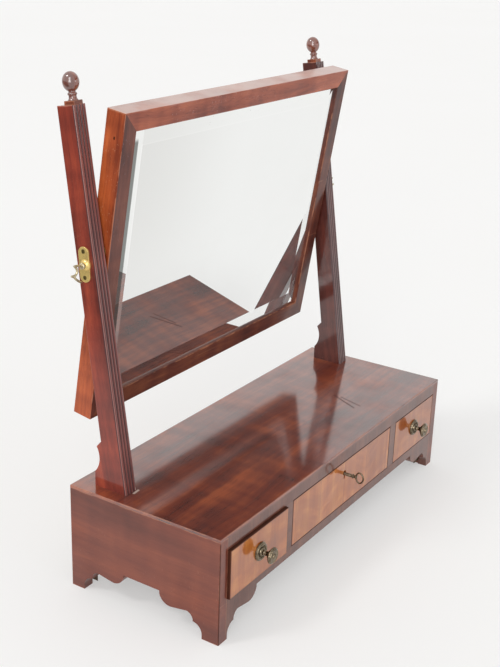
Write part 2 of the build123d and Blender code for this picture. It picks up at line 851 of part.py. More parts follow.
def knob():
    """The turned knob: post, collar, waist and a thick disc with a dished face and a small boss."""
    tail = -front_t - knob_nut_t - knob_post_end
    rim_z = knob_disc_back_h + knob_disc_t
    waist = (knob_waist_r, knob_waist_h)
    back = (knob_back_r, knob_back_h)
    edge = ((knob_disc_r + knob_edge_bulge, (knob_disc_back_h + rim_z) / 2), (knob_disc_r, rim_z))
    dish = (((knob_face_r + knob_boss_r) / 2, knob_face_h - knob_dish), (knob_boss_r, knob_face_h))
    whole = turned(
        (0, tail), (knob_post_r, tail), (knob_post_r, rose_h), (knob_collar_r, rose_h),
        ((knob_collar_r, rose_h + knob_collar_t), waist), (round_arch(waist, back), back),
        (knob_disc_r, knob_disc_back_h), edge, (knob_face_r, knob_face_h), dish,
        dome_arc(knob_boss_r, knob_face_h, knob_boss_h),
    )
    return on_front(whole)


def knob_nut():
    """The square nut on the knob's post, inside the drawer."""
    nut = Box(knob_nut_w, knob_nut_w, knob_nut_t)
    nut -= Cylinder(knob_post_r + screw_gap, knob_nut_t)
    return on_front(Pos(0, 0, -front_t - knob_nut_t / 2) * nut)


def lock_space():
    """What is cut from the centre drawer's front for the lock."""
    inner, low = front_t - lock_plate_t, front_h - lock_h
    pocket = block(-lock_w / 2, lock_w / 2, inner, front_t, low, front_h)
    pocket += block(-lock_w / 2, lock_w / 2, front_t - lock_depth, front_t, front_h - lock_plate_t, front_h)
    half = lock_body_w / 2
    return pocket + block(-half, half, front_t - lock_depth, front_t, front_h - lock_body_h, front_h)


def keyhole():
    """The keyhole through the wood: a round hole with a slot below it."""
    depth = front_t - lock_depth
    drill = Rot(90, 0, 0) * Cylinder(keyhole_r, depth + 2 * overcut)
    hole = Pos(0, depth / 2, key_z + keyhole_up) * drill
    half = keyhole_slot_w / 2
    return hole + block(-half, half, -overcut, depth + overcut, key_z - keyhole_slot_l, key_z)


def lock_screw_places():
    """Where the two screws go through the lock's back plate."""
    z = front_h - lock_h / 2
    return [Pos(x, front_t, z) * Rot(-90, 0, 0) for x in (-lock_screw_out, lock_screw_out)]


def lock_case():
    """The lock's back plate, top plate and rim, open towards the wood."""
    case = lock_space()
    half = lock_body_w / 2 - lock_wall_t
    low = front_h - lock_body_h + lock_wall_t
    case -= block(-half, half, front_t - lock_depth, front_t - lock_plate_t, low, front_h - lock_plate_t)
    slot = bolt_head_w / 2 + running
    y0, y1 = bolt_y() - running, bolt_y() + bolt_t + running
    case -= block(-slot, slot, y0, y1, front_h - 2 * lock_plate_t, front_h)
    for place in lock_screw_places():
        case -= place * screw(lock_screw, screw_gap)
    return case


def lock_bolt():
    """The bolt: a head in the slot of the top plate, a wide plate, and a tab that the key lifts."""
    y0, y1 = bolt_y(), bolt_y() + bolt_t
    shoulder = front_h - lock_plate_t - joint_gap - bolt_travel
    bolt = block(-bolt_w / 2, bolt_w / 2, y0, y1, key_z - bolt_tail, shoulder)
    bolt += block(-bolt_head_w / 2, bolt_head_w / 2, y0, y1, shoulder, front_h)
    return bolt + block(-tab_w / 2, tab_w / 2, bit_y(), y0, key_z + tab_up, key_z + tab_up + tab_h)


def bit_y():
    """How far behind the drawer's face the key's bit begins."""
    return front_t - lock_depth + slide_gap


def key():
    """The key: oval bow, collar, round stem and a flat bit that hangs down inside the lock."""
    stem_end = bit_y() + bit_t
    stem_start = bow_half_w - bow_out
    stem = block_rod(key_stem_r, stem_start, stem_end)
    collar = block_rod(key_collar_r, -key_collar_out, key_collar_t - key_collar_out)
    bit = block(-bit_w / 2, bit_w / 2, bit_y(), stem_end, key_z - bit_r, key_z)
    ring = Plane(origin=(0, -bow_out, key_z), x_dir=(0, 1, 0), z_dir=(1, 0, 0))
    oval = ring * Ellipse(bow_half_w, bow_half_h).edge()
    return stem + collar + bit + rod(oval, bow_wire_r)


def block_rod(radius, y0, y1):
    """A short round bar along the key's axis."""
    return Pos(0, (y0 + y1) / 2, key_z) * Rot(90, 0, 0) * Cylinder(radius, y1 - y0)


def group(places, spec):
    """Identical screws as one group of separate solids."""
    return Compound(children=[(place * screw(spec)).solid() for place in places])


def pair(shape):
    """A group of fasteners with its twin on the left-hand side."""
    return Compound(children=shape.solids() + other_side(shape).solids())


def make_box():
    """Every board of the box."""
    end = end_board()
    wall = divider()
    return {
        "base_top": base_top(),
        "end_board_left": other_side(end),
        "end_board_right": end,
        "back_board": block(-inner_x, inner_x, back_inner_y, back_y, flat_z, top_under_z),
        "bottom_board": block(-inner_x, inner_x, front_y + apron_t, back_inner_y, sill_z - bottom_t, sill_z),
        "front_rail": front_rail(),
        "front_apron": front_apron(),
        "divider_left": other_side(wall),
        "divider_right": wall,
        "glue_blocks": glue_blocks(),
        "drawer_stops": drawer_stops(),
    }


def make_uprights():
    """The uprights and all that is fixed to them, and the thumbscrews that turn in them."""
    right = {
        "upright": upright(),
        "finial_plinth": finial_plinth(),
        "pivot_plate": pivot_plate(),
        "thumbscrew": thumbscrew(),
    }
    nodes = {}
    for name, shape in right.items():
        nodes[f"{name}_right"] = shape
        nodes[f"{name}_left"] = other_side(shape)
    nodes["finial_right"] = finial()
    nodes["finial_left"] = Pos(2 * (finial_inward - upright_mid_x), 0, 0) * finial()
    nodes["upright_screws"] = pair(group(upright_screw_places(), upright_screw))
    nodes["pivot_plate_screws"] = pair(group(plate_screw_places(), plate_screw))
    return nodes


def make_mirror():
    """The framed mirror, tilted as it rests."""
    nodes = frame_members()
    plate = nut_plate()
    nodes["nut_plate_right"] = plate
    nodes["nut_plate_left"] = other_side(plate)
    nodes["nut_plate_screws"] = tilted(pair(group(nut_plate_screw_places(), nut_plate_screw)))
    nodes["mirror_glass"] = mirror_glass()
    nodes["glass_slips"] = glass_slips()
    nodes["mirror_backboard"] = backboard()
    nodes["backboard_nails"] = tilted(nails())
    return nodes


def make_drawers():
    """Three drawers, two with knobs and the middle one with a lock and its key."""
    nodes = {}
    for name, x, ajar in (("left", -side_drawer_x, left_drawer_ajar), ("right", side_drawer_x, 0.0)):
        place = lies_in_drawer(x, ajar)
        nodes |= drawer(name, x, side_opening_w, ajar, knob_hole())
        nodes[f"knob_{name}"] = place * knob()
        nodes[f"knob_rose_{name}"] = place * knob_rose()
        nodes[f"knob_nut_{name}"] = place * knob_nut()
    place = lies_in_drawer(0, 0.0)
    cut = lock_space() + keyhole()
    for screw_place in lock_screw_places():
        cut += screw_place * screw(lock_screw, screw_gap)
    nodes |= drawer("centre", 0, centre_opening_w, 0.0, cut)
    nodes["lock_case"] = place * lock_case()
    nodes["lock_bolt"] = place * lock_bolt()
    nodes["lock_screws"] = place * group(lock_screw_places(), lock_screw)
    nodes["key"] = place * key()
    return nodes


def main():
    """Build every piece and write one STEP file for each node."""
    os.makedirs("parts", exist_ok=True)
    nodes = make_box() | make_uprights() | make_mirror() | make_drawers()
    for name, shape in nodes.items():
        export_step(shape, f"parts/{name}.step")
    print(len(nodes), "nodes")


main()
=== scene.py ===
import logging
import math
from dataclasses import dataclass, field, replace
from enum import Enum
from functools import cache

import bpy
from mathutils import Euler, Matrix, Quaternion, Vector

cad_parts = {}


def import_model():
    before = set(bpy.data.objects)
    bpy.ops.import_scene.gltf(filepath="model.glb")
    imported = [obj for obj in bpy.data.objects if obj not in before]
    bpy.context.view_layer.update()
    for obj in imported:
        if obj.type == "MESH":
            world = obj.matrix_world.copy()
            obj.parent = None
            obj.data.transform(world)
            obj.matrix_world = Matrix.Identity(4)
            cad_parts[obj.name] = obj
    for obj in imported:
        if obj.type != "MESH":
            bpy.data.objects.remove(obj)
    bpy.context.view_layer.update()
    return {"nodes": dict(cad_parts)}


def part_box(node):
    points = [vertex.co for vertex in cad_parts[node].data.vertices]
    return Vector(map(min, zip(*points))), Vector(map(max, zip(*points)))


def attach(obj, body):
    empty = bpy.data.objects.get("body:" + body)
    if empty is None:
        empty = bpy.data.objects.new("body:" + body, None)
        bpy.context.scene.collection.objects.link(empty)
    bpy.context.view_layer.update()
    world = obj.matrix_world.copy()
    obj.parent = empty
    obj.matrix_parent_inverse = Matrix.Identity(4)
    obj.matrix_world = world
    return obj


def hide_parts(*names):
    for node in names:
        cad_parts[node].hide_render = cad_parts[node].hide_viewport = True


# Looks of a dressing table mirror: a low box with three drawers, two raked uprights with finials,
# and a framed looking glass that swings between them. Everything stands in the CAD frame, in metres.
# Small metal and turned pieces are shaped in millimetres and brought down to metres when they are set.

log = logging.getLogger("dressing_mirror")

Colour = tuple[float, float, float, float]
Point3 = tuple[float, float, float]
Outline = list[tuple[float, float]]
Line = tuple[tuple[float, float], ...]
Span = tuple[float, float]

MM = 0.001
RAKE = math.radians(-8.55)
TILT = math.radians(8.95)
ZERO = (0.0, 0.0, 0.0)
ORIGIN = Vector(ZERO)
PIVOT = Vector((0.0, 84.803 * MM, 379.3 * MM))
UPRIGHT_FOOT = Vector((0.0, 36.4 * MM, 127.0 * MM))
NEAR = 0.01
# How much a dull fibre, a rubbed patch, a worn edge or a bare mark adds to a polish's roughness, and how much
# of the coat an edge or a patch takes away.
DULL_ROUGH, PATCH_ROUGH, EDGE_ROUGH, BARE_ROUGH = 0.12, 0.10, 0.15, 0.30
EDGE_THIN, PATCH_THIN = 0.50, 0.18


def rgb(red: float, green: float, blue: float) -> Colour:
    """A colour in linear light."""
    return (red, green, blue, 1.0)


class Grain(Enum):
    """The way the fibres of a board run in its own frame, as the turn that brings them onto X."""

    ALONG_X = (0.0, 0.0, 0.0)
    ALONG_Y = (0.0, 0.0, -math.pi / 2)
    ALONG_Z = (0.0, math.pi / 2, 0.0)


@dataclass(frozen=True)
class Place:
    """A board's own upright frame: the point and tilt it is turned by, and its box in that frame."""

    origin: Point3
    tilt: float
    low: Point3
    high: Point3

    @classmethod
    def of(cls, node: bpy.types.Object, origin: Vector = ORIGIN, tilt: float = 0.0) -> "Place":
        """Measures a piece in a frame that is tilted about X.

        Args:
            node: the CAD node or new piece.
            origin: where the tilted frame has its origin.
            tilt: the frame's turn about X, in radians.

        Returns:
            The piece's place.
        """
        back = Euler((-tilt, 0.0, 0.0)).to_matrix()
        points = [back @ (vertex.co - origin) for vertex in node.data.vertices]
        low = tuple(min(point[axis] for point in points) for axis in range(3))
        high = tuple(max(point[axis] for point in points) for axis in range(3))
        return cls(tuple(origin), tilt, low, high)


@dataclass(frozen=True)
class Signal:
    """What a node puts out. Plain arithmetic on it adds Math nodes to its tree."""

    graph: "Graph"
    socket: bpy.types.NodeSocket

    def __add__(self, other: object) -> "Signal":
        """This number plus another."""
        return self.graph.math("ADD", self, other)

    def __sub__(self, other: object) -> "Signal":
        """This number less another."""
        return self.graph.math("SUBTRACT", self, other)

    def __rsub__(self, other: object) -> "Signal":
        """Another number less this one."""
        return self.graph.math("SUBTRACT", other, self)

    def __mul__(self, other: object) -> "Signal":
        """This number times another."""
        return self.graph.math("MULTIPLY", self, other)

    def __truediv__(self, other: object) -> "Signal":
        """This number over another."""
        return self.graph.math("DIVIDE", self, other)

    __radd__, __rmul__ = __add__, __mul__


class Graph:
    """Adds shader nodes to one tree and joins them. Wherever a signal goes in, a plain value may too."""

    def __init__(self, tree: bpy.types.NodeTree) -> None:
        """Keeps the tree that the nodes go into."""
        self.tree = tree

    def feed(self, socket: bpy.types.NodeSocket, value: object) -> None:
        """Joins a socket to a signal, or sets it to a plain value.

        Args:
            socket: the socket that is fed.
            value: the signal or plain value.
        """
        if isinstance(value, Signal):
            self.tree.links.new(value.socket, socket)
        else:
            socket.default_value = value

    def add(self, kind: str, inputs: dict | None = None, **settings: object) -> bpy.types.Node:
        """Adds one node.

        Args:
            kind: Blender's name for the node type, without ShaderNode.
            inputs: socket name or number, and what feeds it.
            **settings: properties of the node.

        Returns:
            The new node.
        """
        made = self.tree.nodes.new(f"ShaderNode{kind}")
        for key, value in settings.items():
            setattr(made, key, value)
        for key, value in (inputs or {}).items():
            self.feed(made.inputs[key], value)
        return made

    def out(self, kind: str, inputs: dict, which: int | str = 0, **settings: object) -> Signal:
        """Adds one node as add does, and gives one of its outputs."""
        return Signal(self, self.add(kind, inputs, **settings).outputs[which])

    def all_of(self, node: bpy.types.Node) -> dict[str, Signal]:
        """Every output of a node, by its name."""
        return {socket.name: Signal(self, socket) for socket in node.outputs}

    def use(self, effect: bpy.types.NodeTree, inputs: dict) -> dict[str, Signal]:
        """Places a shared effect in this tree, and gives its outputs by name."""
        return self.all_of(self.add("Group", inputs, node_tree=effect))

    def math(self, operation: str, first: object, second: object = 0.0, clamp: bool = False) -> Signal:
        """Works out one number from two."""
        return self.out("Math", {0: first, 1: second}, operation=operation, use_clamp=clamp)

    def vector(self, operation: str, first: object, second: object, which: str = "Vector") -> Signal:
        """Works out one vector from two, or with which="Value" one number."""
        return self.out("VectorMath", {0: first, 1: second}, which, operation=operation)

    def mix(self, factor: object, first: object, second: object, blend: str = "MIX") -> Signal:
        """Mixes two colours by a factor from 0 to 1."""
        return self.out("Mix", {0: factor, 6: first, 7: second}, 2, data_type="RGBA", blend_type=blend)

    def tint(self, colour: object, by: Colour) -> Signal:
        """A colour multiplied by another."""
        return self.mix(1.0, colour, by, "MULTIPLY")

    def between(self, factor: object, first: object, second: object) -> Signal:
        """Mixes two numbers by a factor from 0 to 1."""
        return self.out("Mix", {0: factor, 2: first, 3: second}, data_type="FLOAT")

    def stretch(self, vector: Signal, scale: object = 1.0, turn: Point3 = ZERO, shift: Point3 = ZERO) -> Signal:
        """Scales a vector by one number or one for each axis, then turns it in radians, then shifts it."""
        sizes = scale if isinstance(scale, (tuple, Signal)) else (scale,) * 3
        return self.out("Mapping", {"Vector": vector, "Scale": sizes, "Rotation": turn, "Location": shift})

    def noise(
        self, vector: Signal, scale: object, detail: float = 2.0, rough: float = 0.5,
        turn: Point3 = ZERO, shift: Point3 = ZERO, which: int | str = 0,
    ) -> Signal:
        """Soft noise from 0 to 1, with one feature per unit of the vector once that is stretched."""
        sockets = {"Vector": self.stretch(vector, scale, turn, shift), "Scale": 1.0, "Detail": detail}
        return self.out("TexNoise", {**sockets, "Roughness": rough}, which)

    def rise(self, value: object, low: object, high: object) -> Signal:
        """Goes smoothly from 0 at low to 1 at high."""
        sockets = {"Value": value, "From Min": low, "From Max": high}
        return self.out("MapRange", sockets, interpolation_type="SMOOTHSTEP")

    def fall(self, value: object, low: object, high: object) -> Signal:
        """Goes smoothly from 1 at low to 0 at high."""
        return 1.0 - self.rise(value, low, high)

    def parts(self, vector: Signal) -> tuple[Signal, ...]:
        """The three numbers of a vector."""
        return tuple(self.all_of(self.add("SeparateXYZ", {0: vector})).values())

    def join(self, x: object, y: object, z: object) -> Signal:
        """A vector from three numbers."""
        return self.out("CombineXYZ", {0: x, 1: y, 2: z})

    def inset(self, vector: Signal, low: object, high: object) -> tuple[Signal, ...]:
        """How far a point lies inside the nearer of a box's two sides, for each axis."""
        ends = self.vector("SUBTRACT", vector, low), self.vector("SUBTRACT", high, vector)
        return self.parts(self.vector("MINIMUM", *ends))


class Surface:
    """A material in the making: its nodes, its own coordinates and the colour laid on so far."""

    def __init__(self, name: str, place: Place | None = None) -> None:
        """Makes an empty material.

        Args:
            name: the material's name.
            place: the board whose upright frame the coordinates are in, or None for plain object coordinates.
        """
        self.material = bpy.data.materials.new(name)
        self.material.use_nodes = True
        self.material.node_tree.nodes.clear()
        self.graph = Graph(self.material.node_tree)
        self.shader = self.graph.add("BsdfPrincipled")
        self.shaded = Signal(self.graph, self.shader.outputs[0])
        self.output = self.graph.add("OutputMaterial", {"Surface": self.shaded})
        self.colour: object = rgb(1.0, 1.0, 1.0)
        self.own = self.graph.out("TexCoord", {}, "Object")
        if place:
            sockets = {"Vector": self.own, "Location": place.origin, "Rotation": (place.tilt, 0.0, 0.0)}
            self.own = self.graph.out("Mapping", sockets, vector_type="TEXTURE")

    def lay(self, mask: object, colour: object) -> None:
        """Lays a colour over what is there, where the mask is 1."""
        self.colour = self.graph.mix(mask, self.colour, colour)

    def shade(self, mask: object, by: Colour) -> None:
        """Multiplies what is there by a colour, where the mask is 1."""
        self.lay(mask, self.graph.tint(self.colour, by))

    def facing(self, axis: int) -> Signal:
        """How far the surface faces along X, Y or Z, from -1 to 1."""
        return self.graph.parts(self.graph.out("NewGeometry", {}, "Normal"))[axis]

    def finish(self, sockets: dict[str, object], height: object, depth: float, strength: float) -> bpy.types.Material:
        """Feeds the Principled BSDF with the colour, a bump and what else it takes.

        Args:
            sockets: the names of the other sockets, and what feeds them.
            height: what feeds the bump.
            depth: how deep a height of 1 is, in metres.
            strength: the bump's strength.

        Returns:
            The material.
        """
        bump = self.graph.out("Bump", {"Height": height, "Distance": depth, "Strength": strength})
        for name, value in {"Base Color": self.colour, "Normal": bump, **sockets}.items():
            self.graph.feed(self.shader.inputs[name], value)
        return self.material


@dataclass(frozen=True)
class Figure:
    """The figure of a wood: its three tones, and how strong each layer of its grain is."""

    dark: Colour
    middle: Colour
    light: Colour
    wander: float = 1.0
    ribbon: float = 1.0
    streaks: float = 1.0
    ripple: float = 0.3
    pores: float = 0.5
    short: float = 1.0
    fine: float = 0.45

    def values(self) -> dict[str, object]:
        """The inputs of the grain effect."""
        return {name.title(): value for name, value in vars(self).items()}


class Effect:
    """A shader group in the making, with named inputs and outputs."""

    def __init__(self, name: str, inputs: dict[str, object], outputs: dict[str, str]) -> None:
        """Makes the group's sockets. Every group has a Vector input.

        Args:
            name: the group's name.
            inputs: each further input's name and its default value.
            outputs: each output's name and its kind, Float or Color.
        """
        self.tree = bpy.data.node_groups.new(name, "ShaderNodeTree")
        for key, value in {"Vector": ZERO, **inputs}.items():
            kind = {1: "Float", 3: "Vector", 4: "Color"}[len(value) if isinstance(value, tuple) else 1]
            made = self.tree.interface.new_socket(name=key, in_out="INPUT", socket_type=f"NodeSocket{kind}")
            made.default_value = value
        for key, kind in outputs.items():
            self.tree.interface.new_socket(name=key, in_out="OUTPUT", socket_type=f"NodeSocket{kind}")
        self.graph = Graph(self.tree)
        self.given = self.graph.all_of(self.tree.nodes.new("NodeGroupInput"))
        self.result = self.tree.nodes.new("NodeGroupOutput").inputs

    def put(self, **values: Signal) -> bpy.types.NodeTree:
        """Joins the group's outputs to what feeds them.

        Args:
            **values: each output's name and its signal.

        Returns:
            The finished group.
        """
        for name, value in values.items():
            self.graph.feed(self.result[name], value)
        return self.tree


class Effects:
    """The effects that several finishes share. Each group is built when it is first asked for, and then kept."""

    @staticmethod
    @cache
    def grain() -> bpy.types.NodeTree:
        """Wood fibres along X: broad ribbons, streaks, fine lines, a cross ripple and open pores."""
        usual = Figure(rgb(0.05, 0.01, 0.01), rgb(0.2, 0.05, 0.03), rgb(0.4, 0.1, 0.04))
        effect = Effect("grain", usual.values(), {"Color": "Color", "Height": "Float", "Dull": "Float"})
        graph, given = effect.graph, effect.given
        drift = graph.noise(given["Vector"], (3.5, 13, 13), which="Color")
        drift = graph.vector("SUBTRACT", drift, (0.5, 0.5, 0.5))
        drift = graph.vector("MULTIPLY", drift, (0.0, 0.035, 0.035))
        drift = graph.vector("MULTIPLY", drift, given["Wander"])
        at = graph.vector("ADD", given["Vector"], drift)
        broad = graph.noise(at, graph.join(given["Short"] * 1.8, 38.0, 38.0), 2.0, 0.55)
        streak = graph.noise(at, graph.join(given["Short"] * 5.0, 190.0, 190.0), 3.0, 0.6)
        fine = graph.noise(at, (24, 850, 850), 2.0, 0.6)
        ripple = graph.noise(at, (46, 9, 9), 1.0, turn=(0.0, 0.0, 0.35))
        tone: object = 0.5
        for layer, amount in ((broad, "Ribbon"), (streak, "Streaks"), (ripple, "Ripple"), (fine, "Fine")):
            tone = (layer - 0.5) * given[amount] + tone
        low = graph.math("MULTIPLY", tone, 2.0, clamp=True)
        high = graph.math("SUBTRACT", tone * 2.0, 1.0, clamp=True)
        colour = graph.mix(high, graph.mix(low, given["Dark"], given["Middle"]), given["Light"])
        pore = graph.rise(graph.noise(at, (70, 1700, 1700), 1.0), 0.58, 0.7) * given["Pores"]
        colour = graph.mix(pore, colour, graph.tint(colour, rgb(0.42, 0.38, 0.36)))
        dull = graph.math("MULTIPLY", streak + pore, 0.5, clamp=True)
        return effect.put(Color=colour, Height=fine * 0.5 - pore, Dull=dull)

    @staticmethod
    @cache
    def edges() -> bpy.types.NodeTree:
        """Wear along the edges of a board's box, broken up by noise: 1 on the edge, 0 inside."""
        effect = Effect("edge wear", {"Low": ZERO, "High": (1.0, 1.0, 1.0), "Width": 0.002}, {"Mask": "Float"})
        graph, given = effect.graph, effect.given
        x, y, z = graph.inset(given["Vector"], given["Low"], given["High"])
        first, second = graph.math("MINIMUM", x, y), graph.math("MAXIMUM", x, y)
        gap = graph.math("MAXIMUM", first, graph.math("MINIMUM", second, z))
        patches = graph.noise(given["Vector"], 45, 3.0, 0.65)
        reach = graph.rise(patches, 0.34, 0.72) * given["Width"]
        return effect.put(Mask=graph.fall(gap, 0.0, reach + 0.2 * MM))

    @staticmethod
    @cache
    def rubs() -> bpy.types.NodeTree:
        """Hand rubs and dust in soft patches, and a few hair scratches."""
        effect = Effect("rubs", {}, {"Patches": "Float", "Scratches": "Float"})
        graph, at = effect.graph, effect.given["Vector"]
        patches = graph.rise(graph.noise(at, 14, 4.0, 0.6), 0.42, 0.72)
        lines = graph.rise(graph.noise(at, (9, 1100, 300), 1.0, turn=(0.5, 0.2, 0.45)), 0.69, 0.74)
        breaks = graph.rise(graph.noise(at, 20, 1.0, shift=(3.0, 1.0, 2.0)), 0.5, 0.6)
        return effect.put(Patches=patches, Scratches=lines * breaks)

    @staticmethod
    @cache
    def patina() -> bpy.types.NodeTree:
        """Old metal: bright where it is handled, darker in cloudy patches, with small pits."""
        inputs = {
            "Bright": rgb(0.7, 0.5, 0.2), "Dull": rgb(0.2, 0.14, 0.07), "Amount": 0.5, "Smooth": 0.2, "Rough": 0.5,
        }
        effect = Effect("patina", inputs, {"Color": "Color", "Roughness": "Float", "Height": "Float"})
        graph, given = effect.graph, effect.given
        cloud = graph.noise(given["Vector"], 160, 4.0, 0.65)
        cloud = graph.rise(cloud + given["Amount"] * 0.3, 0.46, 0.86)
        pits = graph.rise(graph.noise(given["Vector"], 1300), 0.62, 0.76)
        lines = graph.noise(given["Vector"], (260, 2600, 2600), 1.0)
        dull = graph.math("ADD", cloud + pits * 0.4, (lines - 0.5) * 0.5, clamp=True)
        return effect.put(
            Color=graph.mix(dull, given["Bright"], given["Dull"]),
            Roughness=graph.between(dull, given["Smooth"], given["Rough"]),
            Height=lines * 0.3 - pits,
        )

    @staticmethod
    @cache
    def mark() -> bpy.types.NodeTree:
        """One mark along the line between two points: 1 on it, 0 past its width."""
        effect = Effect("mark", {"From": ZERO, "Along": (1.0, 0.0, 0.0), "Width": 0.001}, {"Mask": "Float"})
        graph, given = effect.graph, effect.given
        along = given["Along"]
        out = graph.vector("SUBTRACT", given["Vector"], given["From"])
        covered = graph.vector("DOT_PRODUCT", out, along, "Value")
        share = graph.math("DIVIDE", covered, graph.vector("DOT_PRODUCT", along, along, "Value"), clamp=True)
        gap = graph.vector("DISTANCE", out, graph.vector("MULTIPLY", along, share), "Value")
        return effect.put(Mask=graph.fall(gap, given["Width"] * 0.45, given["Width"]))


@dataclass(frozen=True)
class Mark:
    """A scratch, spot or hole at one place on a board, in the board's own frame."""

    start: Point3
    along: Point3
    width: float
    colour: Colour
    strength: float = 0.8


@dataclass(frozen=True)
class Reeds:
    """The reeds on an upright's front: painted shade over the reeded front, painted highlights on the crests, and
    painted shade in the grooves between them.
    """

    pitch: float = 4.625 * MM
    start: float = 230.5 * MM
    depth: Span = (1.6 * MM, 2.4 * MM)
    crest_span: Span = (1.35 * MM, 2.1 * MM)
    groove_span: Span = (0.35 * MM, 1.15 * MM)
    arris_span: Span = (0.5 * MM, 1.2 * MM)
    shadow: Colour = rgb(0.55, 0.62, 0.95)
    crest: Colour = rgb(0.34, 0.17, 0.16)
    groove: Colour = rgb(0.045, 0.013, 0.016)
    arris: Colour = rgb(0.52, 0.25, 0.21)
    shadow_share: float = 0.55
    crest_share: float = 0.40
    groove_share: float = 0.85
    arris_share: float = 0.70

    def lay(self, surface: Surface, place: Place) -> None:
        """Paints shade and highlights on the reeds, and colours the worn front arris.

        Args:
            surface: the upright's material.
            place: the upright's place.
        """
        graph = surface.graph
        x, y, _ = graph.parts(surface.own)
        from_middle = graph.math("ABSOLUTE", x)
        inward = y - place.low[1]
        front = graph.fall(inward, *self.depth)
        off = graph.math("PINGPONG", from_middle - self.start, self.pitch / 2)
        # Painted shade over the reeded front, painted highlights on the crests and painted shade in the grooves.
        surface.shade(front * self.shadow_share, self.shadow)
        surface.lay(graph.rise(off, *self.crest_span) * front * self.crest_share, self.crest)
        surface.lay(graph.fall(off, *self.groove_span) * front * self.groove_share, self.groove)
        outer = place.high[0] if place.low[0] > 0 else -place.low[0]
        arris = graph.math("MAXIMUM", outer - from_middle, inward)
        surface.lay(graph.fall(arris, *self.arris_span) * self.arris_share, self.arris)


@dataclass(frozen=True)
class PolishedWood:
    """Mahogany under an old French polish."""

    name: str
    figure: Figure
    worn: Colour = rgb(0.42, 0.17, 0.09)
    roughness: float = 0.36
    coat: float = 1.0
    coat_roughness: float = 0.07
    coat_ior: float = 1.55
    specular: float = 0.12
    wear: float = 0.6
    wear_width: float = 2.2 * MM
    scratches: float = 0.18
    dust: float = 0.0
    dust_colour: Colour = rgb(0.62, 0.47, 0.43)
    specks: float = 0.0
    chip_colour: Colour = rgb(0.62, 0.34, 0.20)
    chip_sizes: Span = (0.62, 0.72)
    chip_patches: Span = (0.50, 0.66)
    dust_facing: Span = (0.50, 0.90)
    front_facing: Span = (-0.95, -0.80)
    pore_depth: float = 0.10 * MM
    bump: float = 0.35
    # Painted shade and sheen laid on faces that look forward.
    face_tint: Colour | None = None
    reeds: Reeds | None = None

    def on(self, place: Place, grain: Grain, seed: float, marks: tuple[Mark, ...] = ()) -> bpy.types.Material:
        """Makes the material for one board.

        Args:
            place: the board's own frame and box.
            grain: the way its fibres run.
            seed: shifts the figure, so that no two boards are alike.
            marks: marks at given places.

        Returns:
            The material.
        """
        surface = Surface(f"{self.name}_{seed:g}", place)
        graph, own = surface.graph, surface.own
        fibres = graph.stretch(own, 1.0, grain.value, (seed * 1.7, seed * 0.9, seed * 0.37))
        wood = graph.use(Effects.grain(), {"Vector": fibres, **self.figure.values()})
        rubs = graph.use(Effects.rubs(), {"Vector": graph.stretch(own, shift=(seed, seed, 0))})
        box = {"Vector": own, "Low": place.low, "High": place.high, "Width": self.wear_width}
        edges = graph.use(Effects.edges(), box)["Mask"] * self.wear
        surface.colour = wood["Color"]
        surface.lay(edges, self.worn)
        surface.lay(rubs["Scratches"] * self.scratches, self.worn)
        # Dust and painted sheen: a pale pinkish grey laid on faces that look up.
        if self.dust:
            film = graph.rise(surface.facing(2), *self.dust_facing) * self.dust
            surface.lay(film * graph.between(rubs["Patches"], 1.0, 0.6), self.dust_colour)
        if self.specks:
            chips = graph.rise(graph.noise(own, (620, 620, 330), 2.0, 0.7, shift=(seed, 2, 1)), *self.chip_sizes)
            spread = graph.rise(graph.noise(own, 16, 1.0, shift=(1, seed, 4)), *self.chip_patches)
            surface.lay(chips * spread * self.specks, self.chip_colour)
        if self.reeds:
            self.reeds.lay(surface, place)
        # Painted shade and sheen: faces that look forward are darkened and tinted towards blue.
        if self.face_tint:
            surface.shade(graph.fall(surface.facing(1), *self.front_facing), self.face_tint)
        rough = self.roughness + wood["Dull"] * DULL_ROUGH + rubs["Patches"] * PATCH_ROUGH + edges * EDGE_ROUGH
        polish = self.coat - edges * (EDGE_THIN * self.coat) - rubs["Patches"] * (PATCH_THIN * self.coat)
        bare: object = 0.0
        for mark in marks:
            line = {"Vector": own, "From": mark.start, "Along": mark.along, "Width": mark.width}
            mask = graph.use(Effects.mark(), line)["Mask"] * mark.strength
            surface.lay(mask, mark.colour)
            bare = graph.math("MAXIMUM", bare, mask)
        if marks:
            polish, rough = polish * (1.0 - bare), rough + bare * BARE_ROUGH
        sockets = {
            "Roughness": rough, "Coat Weight": polish, "Coat Roughness": self.coat_roughness,
            "Coat IOR": self.coat_ior, "Specular IOR Level": self.specular,
        }
        return surface.finish(sockets, wood["Height"] - rubs["Scratches"], self.pore_depth, self.bump)


